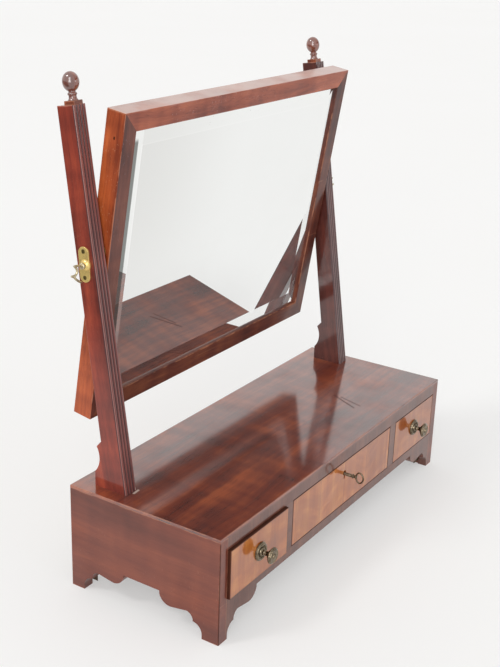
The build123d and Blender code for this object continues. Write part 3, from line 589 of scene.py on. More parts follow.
@dataclass(frozen=True)
class FlameVeneer:
    """Figured veneer on a drawer front, in matched leaves with fine seams between them."""

    name: str
    leaf_width: float
    first_seam: float
    front_y: float
    flame: Figure = Figure(
        rgb(0.29, 0.068, 0.010), rgb(0.40, 0.104, 0.015), rgb(0.53, 0.185, 0.036),
        wander=1.6, ribbon=1.9, streaks=0.5, ripple=0.6, pores=0.2, short=4.0, fine=0.2,
    )
    core: Figure = Figure(rgb(0.09, 0.026, 0.014), rgb(0.17, 0.050, 0.024), rgb(0.30, 0.11, 0.05))
    feather_glow: Colour = rgb(1.22, 1.34, 1.4)
    leaf_shade: Colour = rgb(0.82, 0.76, 0.66)
    seam_colour: Colour = rgb(0.10, 0.03, 0.012)
    edge_line: Colour = rgb(0.050, 0.014, 0.008)
    scratch: Colour = rgb(0.62, 0.30, 0.15)
    leaf_rise: float = 0.11
    bow_h: float = 0.02
    seam_span: Span = (0.1 * MM, 0.45 * MM)
    line_span: Span = (0.55 * MM, 1.25 * MM)
    core_span: Span = (0.9 * MM, 1.1 * MM)
    feather_span: Span = (0.45, 0.68)
    leaf_tones: float = 2.3
    seam_share: float = 0.55
    line_share: float = 0.90
    scratch_share: float = 0.25
    dull_rough: float = 0.10
    patch_thin: float = 0.12
    line_thin: float = 0.80
    seam_deep: float = 1.5
    pore_depth: float = 0.08 * MM
    bump: float = 0.30
    roughness: float = 0.34
    coat_roughness: float = 0.035
    coat_ior: float = 1.72
    specular: float = 0.2

    def on(self, place: Place, seed: float) -> bpy.types.Material:
        """Makes the material for one drawer front.

        Args:
            place: the front's box.
            seed: shifts the figure.

        Returns:
            The material.
        """
        surface = Surface(f"{self.name}_{seed:g}", place)
        graph, own = surface.graph, surface.own
        x, y, z = graph.parts(own)
        out = x - self.first_seam
        folded = graph.math("PINGPONG", out, self.leaf_width)
        pair = graph.math("FLOOR", out / (2 * self.leaf_width))
        bow = graph.math("POWER", folded / self.leaf_width, 2.0)
        flame = graph.join(z + pair * self.leaf_rise + bow * self.bow_h, folded, y)
        flame = graph.stretch(flame, shift=(seed * 1.3, seed * 0.71, seed))
        wood = graph.use(Effects.grain(), {"Vector": flame, **self.flame.values()})
        surface.colour = wood["Color"]
        # Flame figure and painted sheen: diagonal feather streaks are made lighter and paler.
        feather = graph.noise(flame, (60, 22, 22), turn=(0.0, 0.0, 0.7))
        surface.shade(graph.rise(feather, *self.feather_span), self.feather_glow)
        leaf = graph.math("FLOOR", out / self.leaf_width)
        tone = graph.math("SINE", leaf * self.leaf_tones + seed)
        surface.shade(1.0 - (tone + 1.0) * 0.5, self.leaf_shade)
        seam = graph.fall(graph.math("MINIMUM", folded, self.leaf_width - folded), *self.seam_span)
        surface.lay(seam * self.seam_share, self.seam_colour)
        behind = graph.rise(y, *(self.front_y + depth for depth in self.core_span))
        solid = {"Vector": graph.stretch(own, shift=(seed, 0, seed)), **self.core.values()}
        surface.lay(behind, graph.use(Effects.grain(), solid)["Color"])
        rubs = graph.use(Effects.rubs(), {"Vector": graph.stretch(own, shift=(seed, 0, seed))})
        # Dark edge and painted shadow of the gap: a dark line round the front, where the coat is also thinner.
        near_x, _, near_z = graph.inset(own, place.low, place.high)
        line = graph.fall(graph.math("MINIMUM", near_x, near_z), *self.line_span)
        surface.lay(line * self.line_share, self.edge_line)
        surface.lay(rubs["Scratches"] * self.scratch_share, self.scratch)
        rough = self.roughness + wood["Dull"] * self.dull_rough + rubs["Patches"] * PATCH_ROUGH
        polish = (1.0 - rubs["Patches"] * self.patch_thin) * (1.0 - behind) * (1.0 - line * self.line_thin)
        sockets = {
            "Roughness": rough, "Coat Weight": polish, "Coat Roughness": self.coat_roughness,
            "Coat IOR": self.coat_ior, "Specular IOR Level": self.specular,
        }
        return surface.finish(sockets, wood["Height"] - seam * self.seam_deep, self.pore_depth, self.bump)


@dataclass(frozen=True)
class BareWood:
    """Unpolished wood that has darkened with age, as on the backs and insides."""

    name: str
    figure: Figure
    grime_tint: Colour = rgb(0.55, 0.48, 0.42)
    grime_width: float = 5.0 * MM
    patch_grime: float = 0.60
    edge_grime: float = 0.50
    roughness: float = 0.62
    dull_rough: float = 0.20
    pore_depth: float = 0.20 * MM
    bump: float = 0.60

    def on(self, place: Place, grain: Grain, seed: float) -> bpy.types.Material:
        """Makes the material for one board.

        Args:
            place: the board's own frame and box.
            grain: the way its fibres run.
            seed: shifts the figure.

        Returns:
            The material.
        """
        surface = Surface(f"{self.name}_{seed:g}", place)
        graph, own = surface.graph, surface.own
        fibres = graph.stretch(own, 1.0, grain.value, (seed * 1.3, seed * 0.6, seed * 0.23))
        wood = graph.use(Effects.grain(), {"Vector": fibres, **self.figure.values()})
        rubs = graph.use(Effects.rubs(), {"Vector": graph.stretch(own, shift=(seed, seed, 0))})
        box = {"Vector": own, "Low": place.low, "High": place.high, "Width": self.grime_width}
        surface.colour = wood["Color"]
        grime = graph.tint(wood["Color"], self.grime_tint)
        surface.lay(rubs["Patches"] * self.patch_grime, grime)
        surface.lay(graph.use(Effects.edges(), box)["Mask"] * self.edge_grime, grime)
        rough = self.roughness + wood["Dull"] * self.dull_rough
        return surface.finish({"Roughness": rough}, wood["Height"], self.pore_depth, self.bump)


@dataclass(frozen=True)
class OldMetal:
    """Brass or steel with a patina."""

    name: str
    bright: Colour
    dull: Colour
    amount: float
    smooth: float
    rough: float
    metallic: float = 1.0
    grime: Colour = rgb(0.03, 0.02, 0.012)
    grime_patches: Span = (0.58, 0.76)
    grime_share: float = 0.35
    grime_rough: float = 0.20
    pit_depth: float = 0.05 * MM
    bump: float = 0.35

    @cache
    def build(self) -> bpy.types.Material:
        """Makes the material, with grime in small patches, the first time it is asked for.

        Returns:
            The material.
        """
        surface = Surface(self.name)
        graph, own = surface.graph, surface.own
        metal = graph.use(Effects.patina(), {
            "Vector": own, "Bright": self.bright, "Dull": self.dull, "Amount": self.amount,
            "Smooth": self.smooth, "Rough": self.rough,
        })
        cloud = graph.noise(own, 420, 3.0, 0.6, shift=(5, 2, 7))
        dirt = graph.rise(cloud, *self.grime_patches) * self.grime_share
        surface.colour = metal["Color"]
        surface.lay(dirt, self.grime)
        sockets = {"Roughness": metal["Roughness"] + dirt * self.grime_rough, "Metallic": self.metallic}
        return surface.finish(sockets, metal["Height"], self.pit_depth, self.bump)


@dataclass(frozen=True)
class Silvering:
    """The face of the looking glass: silver seen through clear, faintly green glass."""

    name: str = "looking_glass"
    silver: Colour = rgb(0.925, 0.935, 0.93)
    film: Colour = rgb(0.84, 0.85, 0.83)
    bloom_colour: Colour = rgb(0.80, 0.805, 0.79)
    bevel_colour: Colour = rgb(0.95, 0.965, 0.955)
    arris: Colour = rgb(1.0, 1.0, 1.0)
    edge_tint: Colour = rgb(0.115, 0.128, 0.118)
    spot: Colour = rgb(0.12, 0.10, 0.08)
    line_start: float = 11.6 * MM
    line_end: float = 18.2 * MM
    line_lean: float = -0.004
    line_top: Span = (15.0 * MM, 21.0 * MM)
    spot_span: Span = (4.0 * MM, 30.0 * MM)
    bloom_across: Span = (0.02, -0.20)
    bloom_up: Span = (-0.20, 0.12)
    spot_sizes: Span = (0.66, 0.74)
    film_patches: Span = (0.45, 0.80)
    wipe_marks: Span = (0.50, 0.80)
    film_share: float = 0.12
    bevel_share: float = 0.75
    rim_share: float = 0.90
    spot_share: float = 0.60
    wipe_rough: float = 0.03
    spot_rough: float = 0.25
    wedge: float = 0.146
    roughness: float = 0.008
    coat: float = 0.6
    coat_roughness: float = 0.01

    def build(self, place: Place, border: float) -> bpy.types.Material:
        """Makes the material for the plate's face and bevel.

        Args:
            place: the plate's own frame and box.
            border: how far the bevel's inner line lies from the plate's edge.

        Returns:
            The material.
        """
        surface = Surface(self.name, place)
        graph, own = surface.graph, surface.own
        near_x, _, near_z = graph.inset(own, place.low, place.high)
        gap = graph.math("MINIMUM", near_x, near_z)
        across, _, up = graph.parts(own)
        left = across - place.low[0]
        share = graph.between(graph.fall(left, border, border + 2.0 * MM), 0.25, 1.0)
        # Painted reflection: a dark teal line inside the left bevel, below the top, where the glass's edge would
        # reflect the rebate.
        reach = self.line_end + up * self.line_lean
        rim_reflection_mask = graph.fall(left, reach - 1.4 * MM, reach)
        rim_reflection_mask = rim_reflection_mask * graph.rise(place.high[2] - up, *self.line_top)
        rim_reflection_mask = rim_reflection_mask * graph.rise(left, self.line_start - 0.8 * MM, self.line_start)
        # Painted highlight: a pale, faintly green band over the bevel, strongest on the left.
        bevel_highlight_band = graph.fall(gap, border - 0.3 * MM, border) * share
        # Painted highlight: a white line along the bevel's inner arris, strongest on the left.
        line_gap = graph.math("ABSOLUTE", gap - (border + 0.4 * MM))
        line = graph.fall(line_gap, 0.3 * MM, 0.9 * MM) * share
        spots = graph.rise(graph.noise(own, 330, 3.0, 0.7), *self.spot_sizes) * graph.fall(gap, *self.spot_span)
        haze = graph.rise(graph.noise(own, (9, 9, 16), 3.0, 0.6), *self.film_patches)
        wipe = graph.rise(graph.noise(own, (60, 60, 9), turn=(0.0, 0.3, 0.0)), *self.wipe_marks)
        surface.colour = self.silver
        surface.lay(haze * self.film_share, self.film)
        # The glass goes greyer towards the top left.
        top_left_greying = graph.rise(across, *self.bloom_across) * graph.rise(up, *self.bloom_up)
        surface.lay(top_left_greying, self.bloom_colour)
        surface.lay(bevel_highlight_band * self.bevel_share, self.bevel_colour)
        surface.lay(rim_reflection_mask * self.rim_share, self.edge_tint)
        surface.lay(line, self.arris)
        surface.lay(spots * self.spot_share, self.spot)
        rough = self.roughness + haze * wipe * self.wipe_rough + spots * self.spot_rough
        sockets = {
            "Roughness": rough, "Metallic": 1.0, "Coat Weight": self.coat, "Coat Roughness": self.coat_roughness,
        }
        return surface.finish(sockets, graph.math("MAXIMUM", border - gap, 0.0) * self.wedge, 1.0, 1.0)


class Bench:
    """Shapes new pieces with Blender's own operators, in millimetres, and sets them in the frame."""

    @staticmethod
    def clear() -> None:
        """Deselects everything."""
        if bpy.context.object and bpy.context.object.mode != "OBJECT":
            bpy.ops.object.mode_set(mode="OBJECT")
        bpy.ops.object.select_all(action="DESELECT")

    @classmethod
    def only(cls, piece: bpy.types.Object) -> None:
        """Selects one piece and makes it active.

        Args:
            piece: the piece.
        """
        cls.clear()
        piece.select_set(True)
        bpy.context.view_layer.objects.active = piece

    @classmethod
    def start_point(cls, name: str, place: Point3) -> bpy.types.Object:
        """A piece with a single vertex, from which an outline is drawn.

        Args:
            name: the piece's name.
            place: where the vertex lies.

        Returns:
            The piece, in edit mode with its vertex selected.
        """
        cls.clear()
        bpy.ops.mesh.primitive_plane_add(size=0.01)
        piece = bpy.context.object
        piece.name = name
        bpy.ops.object.mode_set(mode="EDIT")
        bpy.ops.mesh.select_mode(type="VERT")
        bpy.ops.mesh.select_all(action="SELECT")
        bpy.ops.mesh.merge(type="CENTER")
        bpy.ops.transform.translate(value=place)
        return piece

    @classmethod
    def draw(cls, points: list[Point3]) -> None:
        """Draws on from the selected vertex.

        Args:
            points: where the line goes, the first being where the vertex is.
        """
        for here, there in zip(points, points[1:]):
            step = tuple(b - a for a, b in zip(here, there))
            bpy.ops.mesh.extrude_region_move(TRANSFORM_OT_translate={"value": step})

    @classmethod
    def block(cls, name: str, middle: Point3, size: Point3) -> bpy.types.Object:
        """A block to shape further.

        Args:
            name: the block's name.
            middle: its middle.
            size: its three sides.

        Returns:
            The block.
        """
        cls.clear()
        bpy.ops.mesh.primitive_cube_add(size=1.0, location=middle)
        block = bpy.context.object
        block.name = name
        block.scale = size
        bpy.ops.object.transform_apply(location=True, rotation=True, scale=True)
        return block

    @classmethod
    def turned(cls, name: str, profile: Outline, steps: int = 56, turn: Point3 = ZERO) -> bpy.types.Object:
        """Turns a profile about Z, as on a lathe.

        Args:
            name: the piece's name.
            profile: radius and height of each point, first and last on the axis or in one place.
            steps: how many facets go round.
            turn: how the turned piece is then laid, in radians.

        Returns:
            The closed piece.
        """
        outline = [(radius, 0.0, height) for radius, height in profile]
        piece = cls.start_point(name, outline[0])
        cls.draw(outline)
        bpy.ops.mesh.select_all(action="SELECT")
        bpy.ops.mesh.spin(steps=steps, angle=math.tau, center=(0, 0, 0), axis=(0, 0, 1))
        bpy.ops.mesh.select_all(action="SELECT")
        bpy.ops.mesh.remove_doubles(threshold=0.0005)
        bpy.ops.mesh.normals_make_consistent(inside=False)
        cls.only(piece)
        piece.rotation_euler = turn
        bpy.ops.object.transform_apply(rotation=True)
        return piece

    @classmethod
    def soften(cls, piece: bpy.types.Object, width: float, angle: float = 35.0) -> None:
        """Rounds a piece's sharp edges and shades it smooth.

        Args:
            piece: the piece.
            width: how wide the rounding is, in millimetres.
            angle: the least angle that counts as sharp, in degrees.
        """
        cls.only(piece)
        bevel = piece.modifiers.new("round", "BEVEL")
        bevel.width = width
        bevel.segments = 2
        bevel.limit_method = "ANGLE"
        bevel.angle_limit = math.radians(angle)
        bpy.ops.object.modifier_apply(modifier=bevel.name)
        bpy.ops.object.shade_smooth_by_angle(angle=math.radians(40))

    @classmethod
    def joined(cls, name: str, pieces: list[bpy.types.Object]) -> bpy.types.Object:
        """Joins pieces into one.

        Args:
            name: the name of the joined piece.
            pieces: the pieces.

        Returns:
            The joined piece.
        """
        cls.clear()
        for piece in pieces:
            piece.select_set(True)
        bpy.context.view_layer.objects.active = pieces[0]
        bpy.ops.object.join()
        pieces[0].name = name
        return pieces[0]

    @classmethod
    def set_at(cls, piece: bpy.types.Object, spot: Vector, turn: Point3 = ZERO) -> None:
        """Brings a piece from millimetres at the bench to its place in metres, held in its mesh.

        Args:
            piece: the piece.
            spot: where its own origin goes.
            turn: how it is turned, in radians.
        """
        cls.only(piece)
        place = Matrix.Translation(spot) @ Euler(turn).to_matrix().to_4x4()
        piece.matrix_world = place @ Matrix.Scale(MM, 4)
        bpy.ops.object.transform_apply(location=True, rotation=True, scale=True)

    @staticmethod
    def copy_of(piece: bpy.types.Object, name: str) -> bpy.types.Object:
        """A copy of a piece with a mesh of its own.

        Args:
            piece: the piece.
            name: the copy's name.

        Returns:
            The copy.
        """
        twin = piece.copy()
        twin.data = piece.data.copy()
        twin.name = name
        bpy.context.scene.collection.objects.link(twin)
        return twin


def smooth_line(points: Outline, share: int = 4) -> Outline:
    """A smooth line through points.

    Args:
        points: the points it passes.
        share: how many steps lie between two of them.

    Returns:
        The points of the line.
    """
    held = [points[0], *points, points[-1]]
    line = []
    for a, b, c, d in zip(held, held[1:], held[2:], held[3:]):
        for step in range(share):
            t = step / share
            line.append(tuple(
                0.5 * (2 * q + (r - p) * t + (2 * p - 5 * q + 4 * r - s) * t * t + (3 * q - p - 3 * r + s) * t ** 3)
                for p, q, r, s in zip(a, b, c, d)
            ))
    return [*line, points[-1]]


def dome(radius: float, height: float, base: float, steps: int, start: float = 0.0) -> Outline:
    """The outline of a dome, up to its top on the axis.

    Args:
        radius: its radius.
        height: its height.
        base: the height of its widest part.
        steps: how many steps its outline has.
        start: the angle at which it starts, in radians above its widest part.

    Returns:
        The points of the outline.
    """
    turns = [start + (math.pi / 2 - start) * step / steps for step in range(steps)]
    return [*((radius * math.cos(turn), base + height * math.sin(turn)) for turn in turns), (0.0, base + height)]


def give(piece: bpy.types.Object, material: bpy.types.Material) -> None:
    """Puts a material in a piece's slot, in place of what it had.

    Args:
        piece: the piece.
        material: the material.
    """
    piece.data.materials.clear()
    piece.data.materials.append(material)
    log.info("dressed %s", piece.name)


def fit(piece: bpy.types.Object, body: str, node: str) -> None:
    """Lets a new piece ride on a body and stand for a CAD node.

    Args:
        piece: the new piece.
        body: the CAD body that it moves with.
        node: the CAD node that it stands for.
    """
    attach(piece, body)
    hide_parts(node)
    log.info("%s: %d faces on %s", piece.name, len(piece.data.polygons), body)


MAHOGANY = PolishedWood("mahogany", Figure(
    rgb(0.060, 0.012, 0.008), rgb(0.165, 0.036, 0.018), rgb(0.330, 0.072, 0.024), ribbon=1.4, streaks=1.3, ripple=0.4,
))
TURNED_WOOD = PolishedWood("turned_wood", Figure(
    rgb(0.095, 0.024, 0.016), rgb(0.200, 0.052, 0.030), rgb(0.340, 0.110, 0.062), ribbon=1.4, streaks=1.3, ripple=0.4,
), coat_roughness=0.16, coat_ior=2.15, wear=0.0, roughness=0.3)
TOP_WOOD = PolishedWood("top_wood", Figure(
    rgb(0.085, 0.014, 0.008), rgb(0.175, 0.030, 0.012), rgb(0.330, 0.070, 0.020),
    ribbon=2.1, streaks=0.8, ripple=1.1, short=2.2, fine=0.35,
), coat_roughness=0.11, roughness=0.27, coat_ior=2.2)
END_WOOD = PolishedWood("end_wood", Figure(
    rgb(0.090, 0.022, 0.015), rgb(0.160, 0.038, 0.022), rgb(0.240, 0.060, 0.030),
    wander=0.8, ribbon=1.4, streaks=0.5, ripple=0.6, short=2.4, fine=0.2, pores=0.25,
), rgb(0.40, 0.18, 0.11), coat=0.8, coat_roughness=0.12)
CROSSBAND = PolishedWood("crossband", Figure(
    rgb(0.085, 0.028, 0.020), rgb(0.135, 0.045, 0.029), rgb(0.215, 0.074, 0.042),
    wander=0.7, ribbon=1.3, streaks=0.9, ripple=0.5,
), rgb(0.13, 0.05, 0.032), coat=0.95, coat_roughness=0.1, wear_width=1.4 * MM)
FRAME_FIGURE = Figure(
    rgb(0.190, 0.032, 0.011), rgb(0.370, 0.073, 0.021), rgb(0.560, 0.125, 0.033),
    wander=1.3, ribbon=2.0, streaks=0.9, ripple=0.9, short=3.0, fine=0.3,
)
# The frame wood has painted shade and sheen on its forward faces.
FRAME_WOOD = PolishedWood(
    "frame_wood", FRAME_FIGURE, rgb(0.52, 0.22, 0.12), coat=0.55, coat_roughness=0.14, roughness=0.42,
    face_tint=rgb(0.38, 0.50, 1.05), specks=0.45,
)
# The top rail takes dust and painted sheen on its top, and painted shade and sheen on its front.
TOP_RAIL_WOOD = replace(FRAME_WOOD, name="top_rail_wood", face_tint=rgb(0.82, 0.98, 1.7), dust=0.84)
# Painted shade: a darker copy of the frame wood for the bottom rail and right stile, in the tone the other frame
# pieces show on their forward faces.
SHADED_FRAME_WOOD = replace(FRAME_WOOD, name="frame_face_wood", face_tint=None, specks=0.0, figure=replace(
    FRAME_FIGURE, dark=rgb(0.045, 0.010, 0.008), middle=rgb(0.110, 0.026, 0.015), light=rgb(0.200, 0.058, 0.026),
))
REEDED_FIGURE = Figure(
    rgb(0.105, 0.015, 0.010), rgb(0.225, 0.032, 0.017), rgb(0.365, 0.060, 0.025),
    wander=0.9, ribbon=1.7, streaks=0.8, ripple=0.8, short=2.6, fine=0.25,
)
REEDED_WOOD = PolishedWood(
    "upright_wood", REEDED_FIGURE, rgb(0.50, 0.22, 0.16), coat=0.85, coat_roughness=0.1,
    wear=0.75, wear_width=1.6 * MM, specks=0.1, reeds=Reeds(),
)
SHADED_REEDED_WOOD = replace(REEDED_WOOD, name="shaded_upright_wood", coat=1.0, coat_ior=1.7, figure=replace(
    REEDED_FIGURE, dark=rgb(0.040, 0.010, 0.008), middle=rgb(0.085, 0.019, 0.014), light=rgb(0.160, 0.038, 0.024),
))
OAK = BareWood("oak", Figure(
    rgb(0.17, 0.095, 0.045), rgb(0.33, 0.20, 0.10), rgb(0.46, 0.31, 0.17), 1.4, 1.5, ripple=0.15, pores=0.7,
))
SHADED_PINE = BareWood("shaded_pine", Figure(
    rgb(0.035, 0.02, 0.012), rgb(0.075, 0.045, 0.026), rgb(0.12, 0.078, 0.045), 1.4, 1.5, ripple=0.15, pores=0.1,
))
PINE = BareWood("pine", Figure(
    rgb(0.24, 0.13, 0.06), rgb(0.42, 0.265, 0.135), rgb(0.55, 0.38, 0.21), 1.4, 1.5, ripple=0.15, pores=0.1,
))
BRIGHT_BRASS = OldMetal("bright_brass", rgb(0.80, 0.59, 0.21), rgb(0.42, 0.29, 0.10), 0.05, 0.28, 0.48, 0.62)
AGED_BRASS = OldMetal("aged_brass", rgb(0.34, 0.26, 0.10), rgb(0.10, 0.07, 0.03), 0.4, 0.32, 0.5)
CAST_BRASS = OldMetal("cast_brass", rgb(0.58, 0.50, 0.33), rgb(0.25, 0.20, 0.12), 0.25, 0.24, 0.46, 0.8)
DARK_BRASS = OldMetal("dark_brass", rgb(0.25, 0.200, 0.135), rgb(0.080, 0.060, 0.042), 0.2, 0.2, 0.38)
DARK_STEEL = OldMetal("dark_steel", rgb(0.21, 0.155, 0.105), rgb(0.070, 0.045, 0.028), 0.45, 0.32, 0.6)


@dataclass
class Studio:
    """The camera at the photograph's viewing angle, the pale floor and the soft light."""

    eye: Point3 = (-1.09940, -0.65928, 0.72689)
    looking: Point3 = (0.790182, 0.503271, -0.349759)
    roll: float = math.radians(1.89)
    lens: float = 61.289
    floor_half: float = 40.0
    floor_colour: Colour = rgb(0.955, 0.952, 0.945)
    floor_cloud: Colour = rgb(0.935, 0.93, 0.915)
    floor_glow: Colour = rgb(0.935, 0.932, 0.93)
    room_floor: Colour = rgb(0.16, 0.155, 0.15)
    ambient: float = 0.71
    backdrop: float = 0.97
    horizon: float = 0.925
    room: float = 0.03
    ceiling: float = 0.60
    sheet_edge: Span = (-0.97, -0.62)
    sheet_front: Span = (-0.30, 0.10)
    dark_ahead: Span = (0.20, 0.42)
    dark_right: Span = (0.05, 0.35)
    dark_height: Span = (0.20, 0.29)
    ceiling_height: Span = (0.40, 0.50)
    glow: float = 0.42
    lamps: tuple[tuple[str, Point3, float, float], ...] = (
        ("key_light", (-0.55, 0.40, 0.85), 12.0, 0.55),
        ("side_light_low", (-0.84, -0.44, 0.12), 28.0, 0.80),
        ("side_light_high", (-0.72, -0.38, 0.58), 25.0, 0.55),
        ("front_light", (0.30, -0.93, 0.15), 10.0, 0.10),
    )

    def build(self) -> None:
        """Makes the camera, floor, world and lamps."""
        bpy.context.scene.view_settings.view_transform = "Standard"
        self._camera()
        self._floor()
        self._world()
        for name, toward, spread, strength in self.lamps:
            data = bpy.data.lights.new(name, "SUN")
            data.angle = math.radians(spread)
            data.energy = strength
            self._aim(bpy.data.objects.new(name, data), -Vector(toward))

    @staticmethod
    def _aim(thing: bpy.types.Object, way: Vector, roll: float = 0.0) -> None:
        """Puts a lamp or camera in the scene, looking a given way.

        Args:
            thing: the lamp or camera.
            way: where it looks.
            roll: its turn about that way, in radians.
        """
        bpy.context.scene.collection.objects.link(thing)
        thing.rotation_mode = "QUATERNION"
        thing.rotation_quaternion = way.to_track_quat("-Z", "Y") @ Quaternion((0.0, 0.0, 1.0), roll)

    def _camera(self) -> None:
        """The photograph's camera, as solved from the object's straight edges."""
        data = bpy.data.cameras.new("camera")
        data.sensor_fit = "AUTO"
        data.sensor_width = 36.0
        data.lens = self.lens
        data.clip_start, data.clip_end = 0.05, 200.0
        camera = bpy.data.objects.new("camera", data)
        camera.location = self.eye
        self._aim(camera, Vector(self.looking), self.roll)
        bpy.context.scene.camera = camera

    def _floor(self) -> None:
        """A wide pale sheet that the object stands on, with the room's floor past its edge for what shines."""
        Bench.clear()
        bpy.ops.mesh.primitive_plane_add(size=2 * self.floor_half)
        floor = bpy.context.object
        floor.name = "floor"
        surface = Surface("pale_floor")
        graph, own = surface.graph, surface.own
        path = graph.all_of(graph.add("LightPath"))
        x, y, _ = graph.parts(own)
        past = graph.fall(x, *self.sheet_edge) * graph.rise(y, *self.sheet_front)
        past = past * path["Is Glossy Ray"]
        surface.colour = graph.mix(graph.noise(own, 1.2), self.floor_colour, self.floor_cloud)
        surface.lay(past, self.room_floor)
        surface.finish({"Roughness": 0.8, "Specular IOR Level": 0.1}, graph.noise(own, 900), 0.02 * MM, 0.1)
        clear = graph.math("MAXIMUM", path["Is Glossy Ray"], path["Is Transmission Ray"])
        seen = graph.math("MAXIMUM", path["Is Camera Ray"], clear)
        glow = graph.out("Emission", {"Color": graph.mix(past, self.floor_glow, self.room_floor), "Strength": 1.0})
        both = graph.out("MixShader", {0: seen * self.glow, 1: surface.shaded, 2: glow})
        graph.feed(surface.output.inputs["Surface"], both)
        give(floor, surface.material)

    def _world(self) -> None:
        """Plain light for the object, and for what shines a white backdrop with a dark room in front."""
        world = bpy.data.worlds.new("studio")
        world.use_nodes = True
        world.node_tree.nodes.clear()
        graph = Graph(world.node_tree)
        across, back_and_forth, height = graph.parts(graph.out("TexCoord", {}, "Generated"))
        ahead = graph.rise(back_and_forth * -1.0, *self.dark_ahead) * graph.rise(across, *self.dark_right)
        dark = ahead * graph.rise(height, *self.dark_height)
        ceiling = graph.rise(height, *self.ceiling_height) * self.ceiling
        shown = graph.between(dark, self.backdrop, ceiling + self.room)
        path = graph.all_of(graph.add("LightPath"))
        clear = graph.math("MAXIMUM", path["Is Glossy Ray"], path["Is Transmission Ray"])
        strength = graph.between(clear, self.ambient, shown)
        strength = graph.between(path["Is Camera Ray"], strength, self.horizon)
        back = graph.out("Background", {"Color": rgb(1.0, 0.998, 0.99), "Strength": strength})
        graph.add("OutputWorld", {"Surface": back})
        bpy.context.scene.world = world


@dataclass
class Assembly:
    """What every sub-assembly works with: the CAD nodes."""

    nodes: dict[str, bpy.types.Object]

    def dress(self, boards: dict[str, tuple], origin: Vector = ORIGIN, tilt: float = 0.0) -> None:
        """Gives boards their finishes.

        Args:
            boards: the node of each board, and its finish, grain, seed and any marks.
            origin: where the boards' own frame has its origin.
            tilt: the frame's turn about X, in radians.
        """
        for name, (finish, *how) in boards.items():
            node = self.nodes[name]
            give(node, finish.on(Place.of(node, origin, tilt), *how))

    def plate(self, finish: OldMetal, *names: str) -> None:
        """Gives nodes a metal.

        Args:
            finish: the metal.
            *names: the nodes.
        """
        for name in names:
            give(self.nodes[name], finish.build())


@dataclass
class BaseBox(Assembly):
    """The low box: top, ends, front rail and apron, dividers, and the plain wood inside."""

    scratches: tuple[Mark, ...] = (
        Mark((0.1294, -0.0119, 0.127), (-0.0212, -0.0414, 0.0), 1.3 * MM, rgb(0.05, 0.012, 0.008)),
        Mark((0.1292, -0.0226, 0.127), (-0.0106, -0.0340, 0.0), 1.1 * MM, rgb(0.05, 0.012, 0.008)),
    )
    filled_spot: Mark = Mark((-0.2390, 0.0318, 0.127), (0.0085, 0.0008, 0.0), 1.9 * MM, rgb(0.62, 0.50, 0.43), 0.85)
    joint: Mark = Mark((-0.2648, -0.1012, 0.0), (0.0, 0.0, 0.121), 1.3 * MM, rgb(0.045, 0.014, 0.010), 0.75)

    def build(self) -> None:
        """Dresses the boards that show, then those inside and behind."""
        self.dress({
            "base_top": (TOP_WOOD, Grain.ALONG_X, 1.0, (*self.scratches, self.filled_spot)),
            "end_board_left": (END_WOOD, Grain.ALONG_Y, 2.0, (self.joint,)),
            "end_board_right": (END_WOOD, Grain.ALONG_Y, 3.0),
            "front_rail": (CROSSBAND, Grain.ALONG_Z, 4.0),
            "front_apron": (CROSSBAND, Grain.ALONG_Z, 5.0),
            "divider_left": (CROSSBAND, Grain.ALONG_X, 6.0),
            "divider_right": (CROSSBAND, Grain.ALONG_X, 7.0),
            "back_board": (PINE, Grain.ALONG_X, 11.0),
            "bottom_board": (SHADED_PINE, Grain.ALONG_X, 12.0),
            "glue_blocks": (SHADED_PINE, Grain.ALONG_Z, 13.0),
            "drawer_stops": (PINE, Grain.ALONG_X, 14.0),
        })


